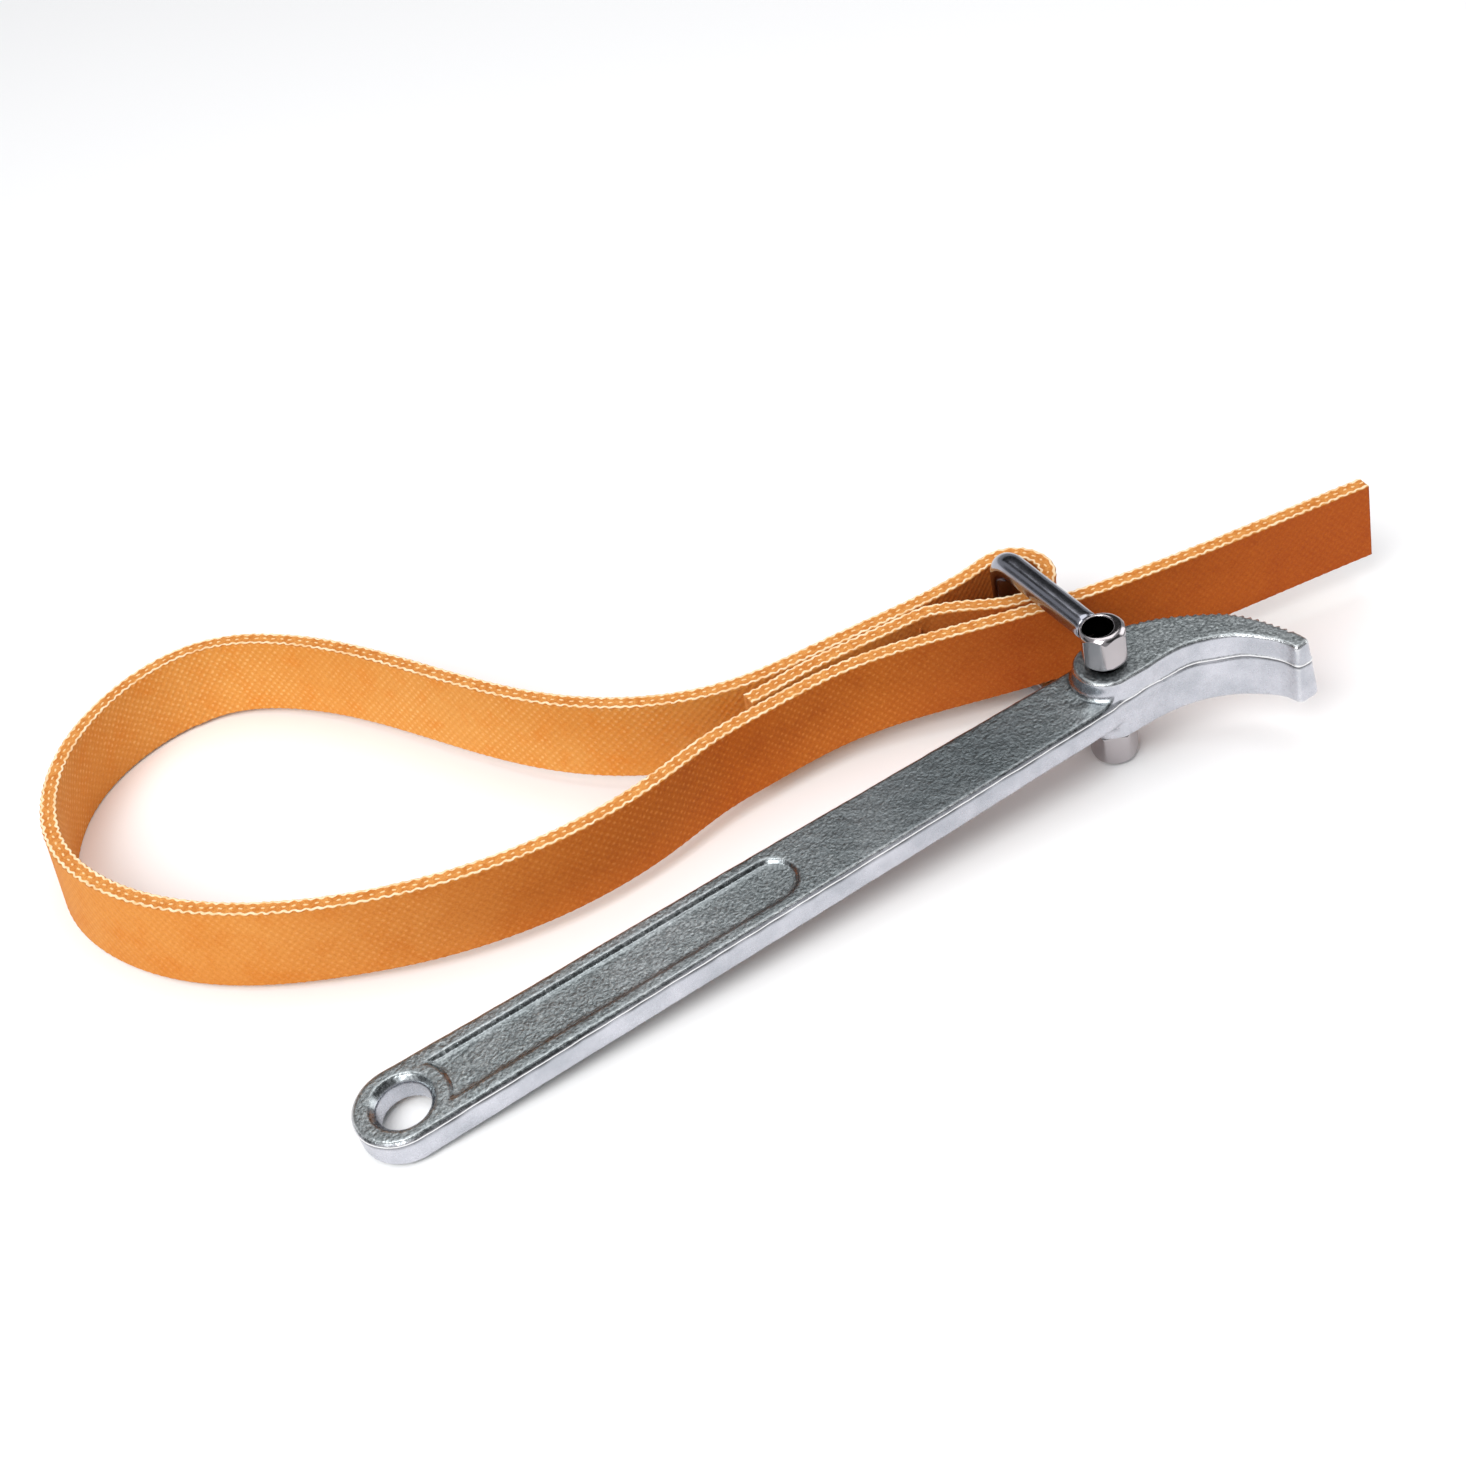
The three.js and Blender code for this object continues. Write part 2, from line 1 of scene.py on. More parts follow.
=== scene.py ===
"""Oil filter wrench with an orange fabric belt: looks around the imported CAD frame.

The forging, the eyes, the pin and the bail are refined from the CAD solids or
rebuilt at the same sizes. The belt is swept along the same centre line as the
CAD belt, with its woven faces and the yarns of its cut edges as geometry.
Everything is in metres, in the frame of the CAD model.
"""
import bpy
import bmesh
import math
import numpy as np
from mathutils import Matrix, Vector


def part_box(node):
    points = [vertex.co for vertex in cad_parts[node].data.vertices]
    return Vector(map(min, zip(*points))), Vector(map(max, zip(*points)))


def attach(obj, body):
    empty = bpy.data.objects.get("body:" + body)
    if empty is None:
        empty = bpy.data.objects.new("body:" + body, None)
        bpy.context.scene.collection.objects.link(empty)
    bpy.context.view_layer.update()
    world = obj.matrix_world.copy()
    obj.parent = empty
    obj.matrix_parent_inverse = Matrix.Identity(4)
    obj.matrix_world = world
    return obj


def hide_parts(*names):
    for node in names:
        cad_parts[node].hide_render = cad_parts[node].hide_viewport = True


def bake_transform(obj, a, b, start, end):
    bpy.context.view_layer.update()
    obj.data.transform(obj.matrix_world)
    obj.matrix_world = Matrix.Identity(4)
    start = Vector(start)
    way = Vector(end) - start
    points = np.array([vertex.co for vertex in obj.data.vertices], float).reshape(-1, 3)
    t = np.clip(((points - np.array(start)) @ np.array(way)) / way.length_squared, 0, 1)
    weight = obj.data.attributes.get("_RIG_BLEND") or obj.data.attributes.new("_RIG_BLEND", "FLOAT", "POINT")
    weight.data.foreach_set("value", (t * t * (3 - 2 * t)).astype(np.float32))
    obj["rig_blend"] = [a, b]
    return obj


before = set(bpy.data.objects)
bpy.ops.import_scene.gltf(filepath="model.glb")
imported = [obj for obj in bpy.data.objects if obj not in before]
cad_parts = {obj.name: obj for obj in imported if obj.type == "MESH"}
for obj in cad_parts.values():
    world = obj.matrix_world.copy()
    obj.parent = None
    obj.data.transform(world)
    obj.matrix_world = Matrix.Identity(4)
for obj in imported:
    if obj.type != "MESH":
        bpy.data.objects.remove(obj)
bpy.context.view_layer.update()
scene = bpy.context.scene
scene.view_settings.view_transform = "Standard"
scene.view_settings.look = "None"

MM = 0.001
# the same numbers as the CAD model, in millimetres
LEAN = math.radians(4.8735)
PIN_Z = 24.8485
CENTRE = np.array([-83.3156, 80.7345])
HOLE_X = -224.5
SHANK_T = 9.5
HEAD_HALF_T = 10.8
ROD_R = 3.95
ARM_H = 19.6
BAR_Y = 47.0
BEND_R = 6.0
EYE_FLATS = 12.4
BELT_W, BELT_T = 27.0, 4.8
BELT_Z, BELT_ZX, BELT_ZY = 9.971, 0.0296, -0.0133

CT, ST = math.cos(LEAN), math.sin(LEAN)


def to_row(p):
    """points in the handle's own axes (mm) to the row frame (m)"""
    p = np.atleast_2d(np.asarray(p, float))
    x = p[:, 0] * CT - p[:, 2] * ST - CENTRE[0]
    z = PIN_Z + p[:, 0] * ST + p[:, 2] * CT
    return np.stack([x, p[:, 1] - CENTRE[1], z], 1) * MM


def to_local(p):
    """row frame (m) to the handle's own axes (mm)"""
    p = np.atleast_2d(np.asarray(p, float)) / MM
    x, z = p[:, 0] + CENTRE[0], p[:, 2] - PIN_Z
    return np.stack([x * CT + z * ST, p[:, 1] + CENTRE[1], -x * ST + z * CT], 1)


# ------------------------------------------------------------------ camera
cam_data = bpy.data.cameras.new("camera")
cam_data.sensor_width = 36.0
cam_data.lens = 52.592792
cam_data.clip_end = 20.0
cam = bpy.data.objects.new("camera", cam_data)
scene.collection.objects.link(cam)
cam_right = Vector((0.8517658, -0.5082879, -0.1270368))
cam_up = Vector((0.4212547, 0.5202485, 0.7428903))
cam_fwd = Vector((0.3115115, 0.6862834, -0.6572486))
m = Matrix((cam_right, cam_up, -cam_fwd)).transposed().to_4x4()
m.translation = Vector((-0.19872924, -0.44574581, 0.42415320))
cam.matrix_world = m
scene.camera = cam


# ----------------------------------------------------------------- helpers
def new_object(name, verts, faces, smooth=True):
    me = bpy.data.meshes.new(name)
    me.from_pydata([tuple(map(float, v)) for v in verts], [], [tuple(map(int, f)) for f in faces])
    me.validate()
    me.update()
    if smooth:
        me.polygons.foreach_set("use_smooth", [True] * len(me.polygons))
    ob = bpy.data.objects.new(name, me)
    scene.collection.objects.link(ob)
    return ob


def co_of(ob):
    co = np.zeros(len(ob.data.vertices) * 3, np.float32)
    ob.data.vertices.foreach_get("co", co)
    return co.reshape(-1, 3).astype(float)


def set_co(ob, co):
    ob.data.vertices.foreach_set("co", np.asarray(co, np.float32).ravel())
    ob.data.update()


def normals_of(ob):
    n = np.zeros(len(ob.data.vertices) * 3, np.float32)
    ob.data.vertices.foreach_get("normal", n)
    return n.reshape(-1, 3).astype(float)


def applied(ob, name):
    """a new object holding ob's mesh with its modifiers applied; ob is removed"""
    dg = bpy.context.evaluated_depsgraph_get()
    me = bpy.data.meshes.new_from_object(ob.evaluated_get(dg))
    me.name = name
    mw = ob.matrix_world.copy()
    bpy.data.objects.remove(ob)
    out = bpy.data.objects.new(name, me)
    out.matrix_world = mw
    scene.collection.objects.link(out)
    return out


def copy_of_node(node, name):
    """a free copy of a CAD node's mesh, vertices merged"""
    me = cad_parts[node].data.copy()
    me.name = name
    ob = bpy.data.objects.new(name, me)
    scene.collection.objects.link(ob)
    ob.data.materials.clear()
    bm = bmesh.new()
    bm.from_mesh(me)
    bmesh.ops.remove_doubles(bm, verts=bm.verts, dist=2e-6)
    bm.to_mesh(me)
    bm.free()
    for a in list(me.attributes):
        if a.name in ("custom_normal", "sharp_face", "sharp_edge"):
            me.attributes.remove(a)
    me.update()
    return ob


def smooth_noise(p, scale, seed):
    """cheap value noise: a few rotated sine products, deterministic"""
    rng = np.random.RandomState(seed)
    out = np.zeros(len(p))
    for k in range(7):
        d = rng.normal(size=3)
        d /= np.linalg.norm(d)
        e = rng.normal(size=3)
        e /= np.linalg.norm(e)
        f = scale * rng.uniform(0.7, 1.6)
        out += np.sin(p @ d * f + rng.uniform(0, 6.28)) * np.sin(p @ e * f * 0.83 + rng.uniform(0, 6.28))
    return out / 7 * 1.8


# --------------------------------------------------------------- materials
class Nodes:
    """short hand for building a shader"""

    def __init__(self, name):
        self.mat = bpy.data.materials.new(name)
        self.mat.use_nodes = True
        self.t = self.mat.node_tree
        self.t.nodes.clear()
        self.out = self.t.nodes.new("ShaderNodeOutputMaterial")
        self.bsdf = self.t.nodes.new("ShaderNodeBsdfPrincipled")
        self.t.links.new(self.bsdf.outputs[0], self.out.inputs[0])

    def n(self, kind, **props):
        node = self.t.nodes.new("ShaderNode" + kind)
        for k, v in props.items():
            setattr(node, k, v)
        return node

    def link(self, a, b):
        self.t.links.new(a, b)

    def put(self, node, key, v):
        s = node.inputs[key]
        if isinstance(v, bpy.types.NodeSocket):
            self.link(v, s)
        else:
            s.default_value = v

    def math(self, op, a, b=0.0, clamp=False):
        node = self.n("Math", operation=op, use_clamp=clamp)
        self.put(node, 0, a)
        self.put(node, 1, b)
        return node.outputs[0]

    def map(self, v, a0, a1, b0=0.0, b1=1.0, smooth=False):
        node = self.n("MapRange", clamp=True)
        if smooth:
            node.interpolation_type = "SMOOTHSTEP"
        self.put(node, 0, v)
        for i, x in enumerate((a0, a1, b0, b1)):
            node.inputs[1 + i].default_value = x
        return node.outputs[0]

    def noise(self, vector, scale, detail=3.0, rough=0.55, distortion=0.0):
        node = self.n("TexNoise")
        self.put(node, "Vector", vector)
        node.inputs["Scale"].default_value = scale
        node.inputs["Detail"].default_value = detail
        node.inputs["Roughness"].default_value = rough
        node.inputs["Distortion"].default_value = distortion
        return node.outputs["Fac"]

    def voronoi(self, vector, scale):
        node = self.n("TexVoronoi")
        self.put(node, "Vector", vector)
        node.inputs["Scale"].default_value = scale
        return node.outputs["Distance"]

    def mix(self, fac, a, b):
        node = self.n("Mix", data_type="RGBA")
        self.put(node, 0, fac)
        self.put(node, 6, a)
        self.put(node, 7, b)
        return node.outputs[2]

    def bump(self, height, distance, strength=1.0, normal=None):
        node = self.n("Bump")
        self.put(node, "Height", height)
        node.inputs["Distance"].default_value = distance
        node.inputs["Strength"].default_value = strength
        if normal is not None:
            self.link(normal, node.inputs["Normal"])
        return node.outputs[0]


def srgb(r, g, b):
    def f(c):
        c /= 255
        return c / 12.92 if c <= 0.04045 else ((c + 0.055) / 1.055) ** 2.4
    return (f(r), f(g), f(b), 1.0)


def object_coords(N):
    return N.n("TexCoord").outputs["Object"]


def make_forged():
    """zinc plated forging: fine blasted grain, soft stains, brighter worn edges, a painted highlight along the flash
    ridge and painted shade in the groove below it, a painted dark reflection on the middle of the shank and a painted
    pale reflection on the side faces
    """
    N = Nodes("forged_steel")
    P = object_coords(N)
    grain = N.noise(P, 1150, 3, 0.65)
    coarse = N.noise(P, 430, 3, 0.6)
    blot = N.noise(P, 38, 4, 0.6, 0.4)
    pits = N.voronoi(P, 900)
    edge = N.n("Attribute", attribute_name="wear_and_highlight").outputs["Fac"]
    side = N.n("Attribute", attribute_name="side").outputs["Fac"]
    groove = N.n("Attribute", attribute_name="groove").outputs["Fac"]
    slope = N.n("Attribute", attribute_name="slope").outputs["Fac"]
    col = N.mix(N.map(blot, 0.35, 0.68), srgb(168, 176, 178), srgb(190, 195, 197))
    spots = N.map(grain, 0.40, 0.62)
    col = N.mix(spots, N.mix(0.50, col, srgb(78, 84, 86)), col)
    col = N.mix(N.math("MULTIPLY", N.map(grain, 0.60, 0.74), 0.55), col, srgb(225, 232, 228))
    # painted dark reflection: the middle of the shank is darkened as if it mirrored something dark
    dark_reflection = N.n("Attribute", attribute_name="painted_dark_reflection").outputs["Fac"]
    col = N.mix(N.math("MULTIPLY", dark_reflection, 0.62, True), col, srgb(88, 96, 100))
    # painted reflection: the side faces are turned pale lavender as if they mirrored a bright surround
    col = N.mix(N.math("MULTIPLY", side, 0.85), col, N.mix(N.map(N.noise(P, 70, 3, 0.6), 0.35, 0.65), srgb(184, 186, 194), srgb(212, 212, 220)))
    # worn edges lightened, with a painted highlight along the top of the flash ridge
    col = N.mix(N.math("MULTIPLY", edge, 0.9, True), col, srgb(246, 246, 246))
    # painted shade in the groove under the flash ridge
    col = N.mix(N.math("MULTIPLY", groove, 0.92, True), col, srgb(38, 40, 40))
    N.put(N.bsdf, "Base Color", col)
    N.put(N.bsdf, "Metallic", 1.0)
    r = N.math("ADD", N.map(blot, 0.3, 0.7, 0.36, 0.46), N.map(grain, 0.3, 0.7, -0.06, 0.06))
    r = N.math("SUBTRACT", r, N.math("MULTIPLY", edge, 0.12))
    r = N.math("SUBTRACT", r, N.math("MULTIPLY", slope, 0.14))
    N.put(N.bsdf, "Roughness", N.math("MAXIMUM", r, 0.16))
    h = N.math("ADD", N.math("MULTIPLY", grain, 0.8), N.math("MULTIPLY", coarse, 0.8))
    h = N.math("ADD", h, N.math("MULTIPLY", pits, 0.3))
    amount = N.math("SUBTRACT", 1.0, N.math("MULTIPLY", N.math("MAXIMUM", N.math("MAXIMUM", side, slope), edge), 0.90))
    N.put(N.bsdf, "Normal", N.bump(N.math("MULTIPLY", h, amount), 0.00022, 1.0))
    return N.mat


def make_polished(name, base, rough, scratch=0.07, inside=False):
    """drawn and plated bar: long faint draw marks, tiny scratches"""
    N = Nodes(name)
    P = object_coords(N)
    fine = N.noise(P, 900, 3, 0.6)
    soft = N.noise(P, 60, 3, 0.5)
    col = N.mix(N.map(soft, 0.3, 0.7), base, tuple(c * 0.86 for c in base[:3]) + (1.0,))
    if inside:      # painted shade down in the hole
        col = N.mix(N.n("Attribute", attribute_name="inside").outputs["Fac"], col, srgb(34, 30, 28))
    N.put(N.bsdf, "Base Color", col)
    N.put(N.bsdf, "Metallic", 1.0)
    N.put(N.bsdf, "Roughness", N.math("ADD", N.map(soft, 0.3, 0.7, rough * 0.8, rough * 1.25), N.map(fine, 0.35, 0.65, 0.0, 0.05)))
    N.put(N.bsdf, "Normal", N.bump(N.math("ADD", N.math("MULTIPLY", fine, 0.3), soft), 0.00012, scratch))
    return N.mat


def weave_uv(N):
    sep = N.n("SeparateXYZ")
    N.link(N.n("UVMap", uv_map="belt").outputs[0], sep.inputs[0])
    return sep.outputs[0], sep.outputs[1]


def make_belt_face():
    """rubbed woven face: small pale yarn crowns showing through an orange coat"""
    N = Nodes("belt_face")
    P = object_coords(N)
    u, v = weave_uv(N)                      # metres along, metres across
    # crowns 2.6 mm apart in a row, rows 1.4 mm apart, every other row shifted
    wob = N.noise(P, 260, 3, 0.6)
    a = N.math("ADD", N.math("MULTIPLY", u, 2 * math.pi / 0.0026), N.math("MULTIPLY", wob, 4.2))
    b = N.math("ADD", N.math("MULTIPLY", v, 2 * math.pi / 0.0028), N.math("MULTIPLY", wob, -3.0))
    crown = N.math("MULTIPLY", N.math("SINE", a), N.math("SINE", b))
    crown = N.map(crown, -1, 1)
    big = N.noise(P, 20, 4, 0.6, 0.3)
    mid = N.noise(P, 110, 4, 0.62)
    spot = N.noise(P, 620, 3, 0.6)
    fine = N.noise(P, 1700, 3, 0.6)
    painted_shade = N.n("Attribute", attribute_name="painted_shade").outputs["Fac"]
    painted_light = N.n("Attribute", attribute_name="painted_light").outputs["Fac"]
    # painted light and shade: a lit and a shaded copy of the orange, mixed by position along the belt
    dark = N.mix(N.map(big, 0.35, 0.68), srgb(184, 88, 14), srgb(194, 98, 20))
    light = N.mix(N.map(big, 0.35, 0.68), srgb(220, 147, 64), srgb(226, 162, 82))
    col = N.mix(painted_light, dark, light)
    col = N.mix(N.map(mid, 0.30, 0.52, 0.5, 0.0), col, N.mix(painted_light, srgb(170, 76, 12), srgb(222, 132, 36)))
    # painted shade, darker and redder, near the bail and at the free end; the crowns show less there
    col = N.mix(N.math("MULTIPLY", painted_shade, 0.66, True), col, srgb(158, 60, 16))
    # pale crowns come and go
    vis = N.math("MULTIPLY", N.map(crown, 0.60, 0.95), N.map(spot, 0.34, 0.58))
    vis = N.math("MULTIPLY", vis, N.math("SUBTRACT", 0.46, N.math("MULTIPLY", painted_shade, 0.30)))
    vis = N.math("MULTIPLY", vis, N.map(N.noise(P, 34, 2, 0.5), 0.36, 0.60, 0.45, 1.25))
    vis = N.math("MULTIPLY", vis, N.n("Attribute", attribute_name="weave").outputs["Fac"])
    col = N.mix(vis, col, N.mix(painted_light, srgb(230, 142, 62), srgb(255, 212, 142)))
    col = N.mix(N.math("MULTIPLY", N.map(crown, 0.40, 0.10), 0.14), col, N.mix(painted_light, srgb(150, 60, 8), srgb(206, 112, 28)))
    col = N.mix(N.math("MULTIPLY", N.map(fine, 0.50, 0.72), 0.24), col, N.mix(painted_light, srgb(220, 130, 52), srgb(252, 190, 104)))
    col = N.mix(N.math("MULTIPLY", N.map(fine, 0.46, 0.28), 0.30), col, N.mix(painted_light, srgb(140, 54, 8), srgb(200, 104, 26)))
    N.put(N.bsdf, "Base Color", col)
    N.put(N.bsdf, "Roughness", N.map(fine, 0.3, 0.7, 0.60, 0.78))
    N.bsdf.inputs["Specular IOR Level"].default_value = 0.14
    N.bsdf.inputs["Sheen Weight"].default_value = 0.0
    h = N.math("ADD", N.math("MULTIPLY", crown, 0.8), N.math("MULTIPLY", fine, 0.6))
    h = N.math("ADD", h, N.math("MULTIPLY", spot, 0.5))
    N.put(N.bsdf, "Normal", N.bump(h, 0.00014, 0.8))
    return N.mat


def make_belt_edge():
    """cut edge: a pale yarn zigzagging along each border, cut ends between"""
    N = Nodes("belt_edge")
    P = object_coords(N)
    u, v = weave_uv(N)                      # v: metres from the middle of the edge
    cord = N.n("Attribute", attribute_name="cord").outputs["Fac"]
    dash = N.n("Attribute", attribute_name="dash").outputs["Fac"]
    fine = N.noise(P, 2600, 3, 0.65)
    mid = N.noise(P, 420, 3, 0.6)
    patch = N.noise(P, 190, 3, 0.6)
    col = N.mix(N.map(mid, 0.35, 0.65), srgb(204, 126, 50), srgb(228, 160, 84))
    col = N.mix(N.math("MULTIPLY", N.map(fine, 0.35, 0.65), 0.45), col, srgb(160, 78, 26))
    pale = N.mix(N.map(mid, 0.3, 0.7), srgb(252, 232, 198), srgb(246, 212, 164))
    pale = N.mix(N.math("MULTIPLY", N.map(patch, 0.50, 0.62), 0.50), pale, srgb(232, 172, 102))
    col = N.mix(N.math("MULTIPLY", N.map(dash, 0.35, 0.75), 0.85, True), col, srgb(250, 214, 160))
    col = N.mix(N.math("MULTIPLY", N.map(cord, 0.26, 0.60), 0.97, True), col, pale)
    N.put(N.bsdf, "Base Color", col)
    N.put(N.bsdf, "Roughness", 0.8)
    N.bsdf.inputs["Specular IOR Level"].default_value = 0.25
    # twist of the yarn
    tw = N.math("SINE", N.math("MULTIPLY", N.math("ADD", u, N.math("MULTIPLY", v, 0.9)), 2 * math.pi / 0.0006))
    h = N.math("ADD", N.math("MULTIPLY", fine, 0.7), N.math("MULTIPLY", tw, 0.25))
    N.put(N.bsdf, "Normal", N.bump(h, 0.0001, 0.7))
    return N.mat


def make_thread():
    N = Nodes("seam_thread")
    P = object_coords(N)
    fine = N.noise(P, 2500, 3, 0.6)
    w = N.n("TexWave", wave_type="BANDS", bands_direction="DIAGONAL")
    N.link(P, w.inputs["Vector"])
    w.inputs["Scale"].default_value = 900
    w.inputs["Distortion"].default_value = 1.0
    col = N.mix(N.map(fine, 0.3, 0.7), srgb(206, 122, 52), srgb(190, 104, 40))
    N.put(N.bsdf, "Base Color", N.mix(N.math("MULTIPLY", w.outputs["Fac"], 0.3), col, srgb(150, 76, 26)))
    N.put(N.bsdf, "Roughness", 0.75)
    N.put(N.bsdf, "Normal", N.bump(N.math("ADD", fine, w.outputs["Fac"]), 0.0001, 0.6))
    return N.mat


MAT_FORGED = make_forged()
MAT_BAR = make_polished("bail_steel", srgb(160, 162, 172), 0.17, 0.03)
MAT_EYE = make_polished("eye_steel", srgb(186, 180, 182), 0.13, 0.03, True)
MAT_PIN = make_polished("pin_steel", srgb(30, 30, 32), 0.45)
MAT_FACE = make_belt_face()
MAT_EDGE = make_belt_edge()
MAT_THREAD = make_thread()

# -------------------------------------------------------------- the forging
def catmull(P, n):
    out = []
    for i in range(len(P) - 1):
        p1, p2 = P[i], P[i + 1]
        p0 = P[i - 1] if i > 0 else 2 * p1 - p2
        p3 = P[i + 2] if i + 2 < len(P) else 2 * p2 - p1
        d0 = np.linalg.norm(p0 - p1) ** 0.5
        d1 = np.linalg.norm(p1 - p2) ** 0.5
        d2 = np.linalg.norm(p2 - p3) ** 0.5
        t1 = ((p1 - p0) / d0 - (p2 - p0) / (d0 + d1) + (p2 - p1) / d1) * d1
        t2 = ((p2 - p1) / d1 - (p3 - p1) / (d1 + d2) + (p3 - p2) / d2) * d1
        t = np.linspace(0, 1, n, endpoint=False)[:, None]
        out.append(p1 + t1 * t + (-3 * p1 + 3 * p2 - 2 * t1 - t2) * t ** 2 + (2 * p1 - 2 * p2 + t1 + t2) * t ** 3)
    out.append(P[-1:])
    return np.concatenate(out)


def noise1(t, seed):
    rng = np.random.RandomState(seed)
    out = np.zeros_like(t)
    for k in range(6):
        out += np.sin(t * rng.uniform(0.12, 0.9) + rng.uniform(0, 6.28)) * rng.uniform(0.3, 1.0)
    return out / 3


def edges_of(me):
    ed = np.zeros(len(me.edges) * 2, np.int32)
    me.edges.foreach_get("vertices", ed)
    return ed.reshape(-1, 2)


def relax(co, ed, weight, times):
    """pulls each vertex towards the middle of its neighbours"""
    n = len(co)
    deg = np.maximum(np.bincount(ed.ravel(), minlength=n), 1).astype(float)
    for _ in range(times):
        acc = np.stack([np.bincount(ed[:, 0], weights=co[ed[:, 1], k], minlength=n) +
                        np.bincount(ed[:, 1], weights=co[ed[:, 0], k], minlength=n) for k in range(3)], 1)
        co = co + (weight * 0.5)[:, None] * (acc / deg[:, None] - co)
    return co


def remeshed(node, name, voxel):
    ob = copy_of_node(node, name + "_src")
    mod = ob.modifiers.new("r", "REMESH")
    mod.mode = "VOXEL"
    mod.voxel_size = voxel
    mod.adaptivity = 0.0
    return applied(ob, name)


FOOT = (-10.7, -6.0)
TOOTHED = np.array([(13.7, 8.3), (20.0, 5.6), (25.8, 1.7), (31.3, -2.5), (36.3, -7.4),
                    (40.0, -13.5), (42.8, -20.7), (44.9, -27.6)])


def build_forging():
    ob = remeshed("handle_forging", "forging", 0.00032)
    me = ob.data
    co = co_of(ob)
    L = to_local(co)
    line = catmull(TOOTHED, 30)
    far = np.full(len(L), 9.0)
    pick = np.where((L[:, 0] > 11) & (L[:, 1] > -31))[0]
    for k in range(0, len(pick), 20000):
        q = pick[k:k + 20000]
        far[q] = np.min(np.linalg.norm(L[q, None, :2] - line[None], axis=2), axis=1)
    weight = np.clip((far - 1.8) / 1.5, 0.16, 1.0)
    co = relax(co, edges_of(me), weight, 8)
    set_co(ob, co)
    n = normals_of(ob)
    L = to_local(co)
    # normal in the handle's own axes
    nl = np.stack([n[:, 0] * CT + n[:, 2] * ST, n[:, 1], -n[:, 0] * ST + n[:, 2] * CT], 1)
    flat = np.abs(nl[:, 2])
    side = np.clip((0.75 - flat) / 0.35, 0, 1)
    slope = np.clip((0.95 - flat) / 0.15, 0, 1)
    # trimmed flash line round the side, a little above the middle
    head = np.clip((L[:, 0] + 6) / 10, 0, 1)
    hline = 3.5 * (1 - head) + 3.6 * head
    hline = hline + head * 0.55 * noise1(L[:, 0] * 1.0 + L[:, 1] * 0.35, 3) + 0.12 * noise1(L[:, 0] * 0.9, 5)
    in_hole = (L[:, 0] - HOLE_X) ** 2 + L[:, 1] ** 2 < 10.0 ** 2
    in_bore = L[:, 0] ** 2 + L[:, 1] ** 2 < 5.5 ** 2
    out = np.where(in_hole | in_bore, 0.0, 1.0)
    d = L[:, 2] - hline
    ridge = 0.26 * np.exp(-(d / 0.40) ** 2) - 0.28 * np.exp(-((d + 0.85) / 0.40) ** 2)
    # groove: where the painted shade goes, in the hollow under the flash ridge
    gw = 0.34 + 0.14 * (1 - head) + 0.08 * noise1(L[:, 0] * 1.7 + 3, 8)
    groove = np.exp(-((d + 0.80) / gw) ** 2) * side * out * np.clip(0.8 + 0.5 * noise1(L[:, 0] * 0.8, 9), 0.15, 1)
    # lip: where the painted highlight goes, along the top of the flash ridge
    lip = np.exp(-((d - 0.05) / 0.34) ** 2) * side * out
    # the die halves are very slightly out of step on the jaw
    step = 0.16 * head * (1 / (1 + np.exp(d / 0.25)))
    push = (ridge + step) * side * out
    # forged waviness everywhere
    wav = 0.07 * smooth_noise(L, 0.55, 11) + 0.03 * smooth_noise(L, 1.7, 12)
    wav *= np.where(in_bore, 0, 1)
    # the shank's upper face swells a little into the foot of the boss
    swell = 0.75 * np.exp(-((L[:, 0] - FOOT[0]) ** 2 + (L[:, 1] - FOOT[1]) ** 2) / 2.5 ** 2)
    wav += swell * (nl[:, 2] > 0.9) * (L[:, 2] < 8)
    co += n * ((push + wav) * MM)[:, None]
    set_co(ob, co)
    # edge wear where the surface is convex; the painted highlight along the flash ridge is added to it
    bm = bmesh.new()
    bm.from_mesh(me)
    bm.normal_update()
    bm.verts.ensure_lookup_table()
    curv = np.zeros(len(bm.verts))
    for v in bm.verts:
        s = 0.0
        c = v.co
        vn = v.normal
        k = 0
        for e in v.link_edges:
            o = e.other_vert(v).co - c
            l = o.length
            if l > 0:
                s -= vn.dot(o) / (l * l)
                k += 1
        curv[v.index] = s / max(k, 1)
    bm.free()
    # blur along the surface
    ed = np.zeros(len(me.edges) * 2, np.int32)
    me.edges.foreach_get("vertices", ed)
    ed = ed.reshape(-1, 2)
    deg = np.bincount(ed.ravel(), minlength=len(curv)).astype(float)
    for _ in range(3):
        acc = np.bincount(ed[:, 0], weights=curv[ed[:, 1]], minlength=len(curv)) + \
            np.bincount(ed[:, 1], weights=curv[ed[:, 0]], minlength=len(curv))
        curv = 0.5 * curv + 0.5 * acc / np.maximum(deg, 1)
    wear_and_highlight = np.clip((curv - 120) / 420, 0, 1)
    wear_and_highlight = np.clip(wear_and_highlight + 0.7 * lip, 0, 1)
    # painted dark reflection round the middle of the shank, faded out before the head
    painted_dark_reflection = np.exp(-((L[:, 0] + 48) / 48) ** 2) * (1 + 0.25 * smooth_noise(L, 0.12, 31))
    painted_dark_reflection = np.clip(painted_dark_reflection + 0.25 * np.exp(-((L[:, 0] + 105) / 60) ** 2) - 0.9 * head, 0, 1)
    for name, val in (("wear_and_highlight", wear_and_highlight), ("side", side), ("slope", slope), ("groove", groove), ("painted_dark_reflection", painted_dark_reflection)):
        a = me.attributes.new(name, "FLOAT", "POINT")
        a.data.foreach_set("value", val.astype(np.float32))
    me.materials.clear()
    me.materials.append(MAT_FORGED)
    me.polygons.foreach_set("use_smooth", [True] * len(me.polygons))
    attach(ob, "handle")
    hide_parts("handle_forging")
    return ob


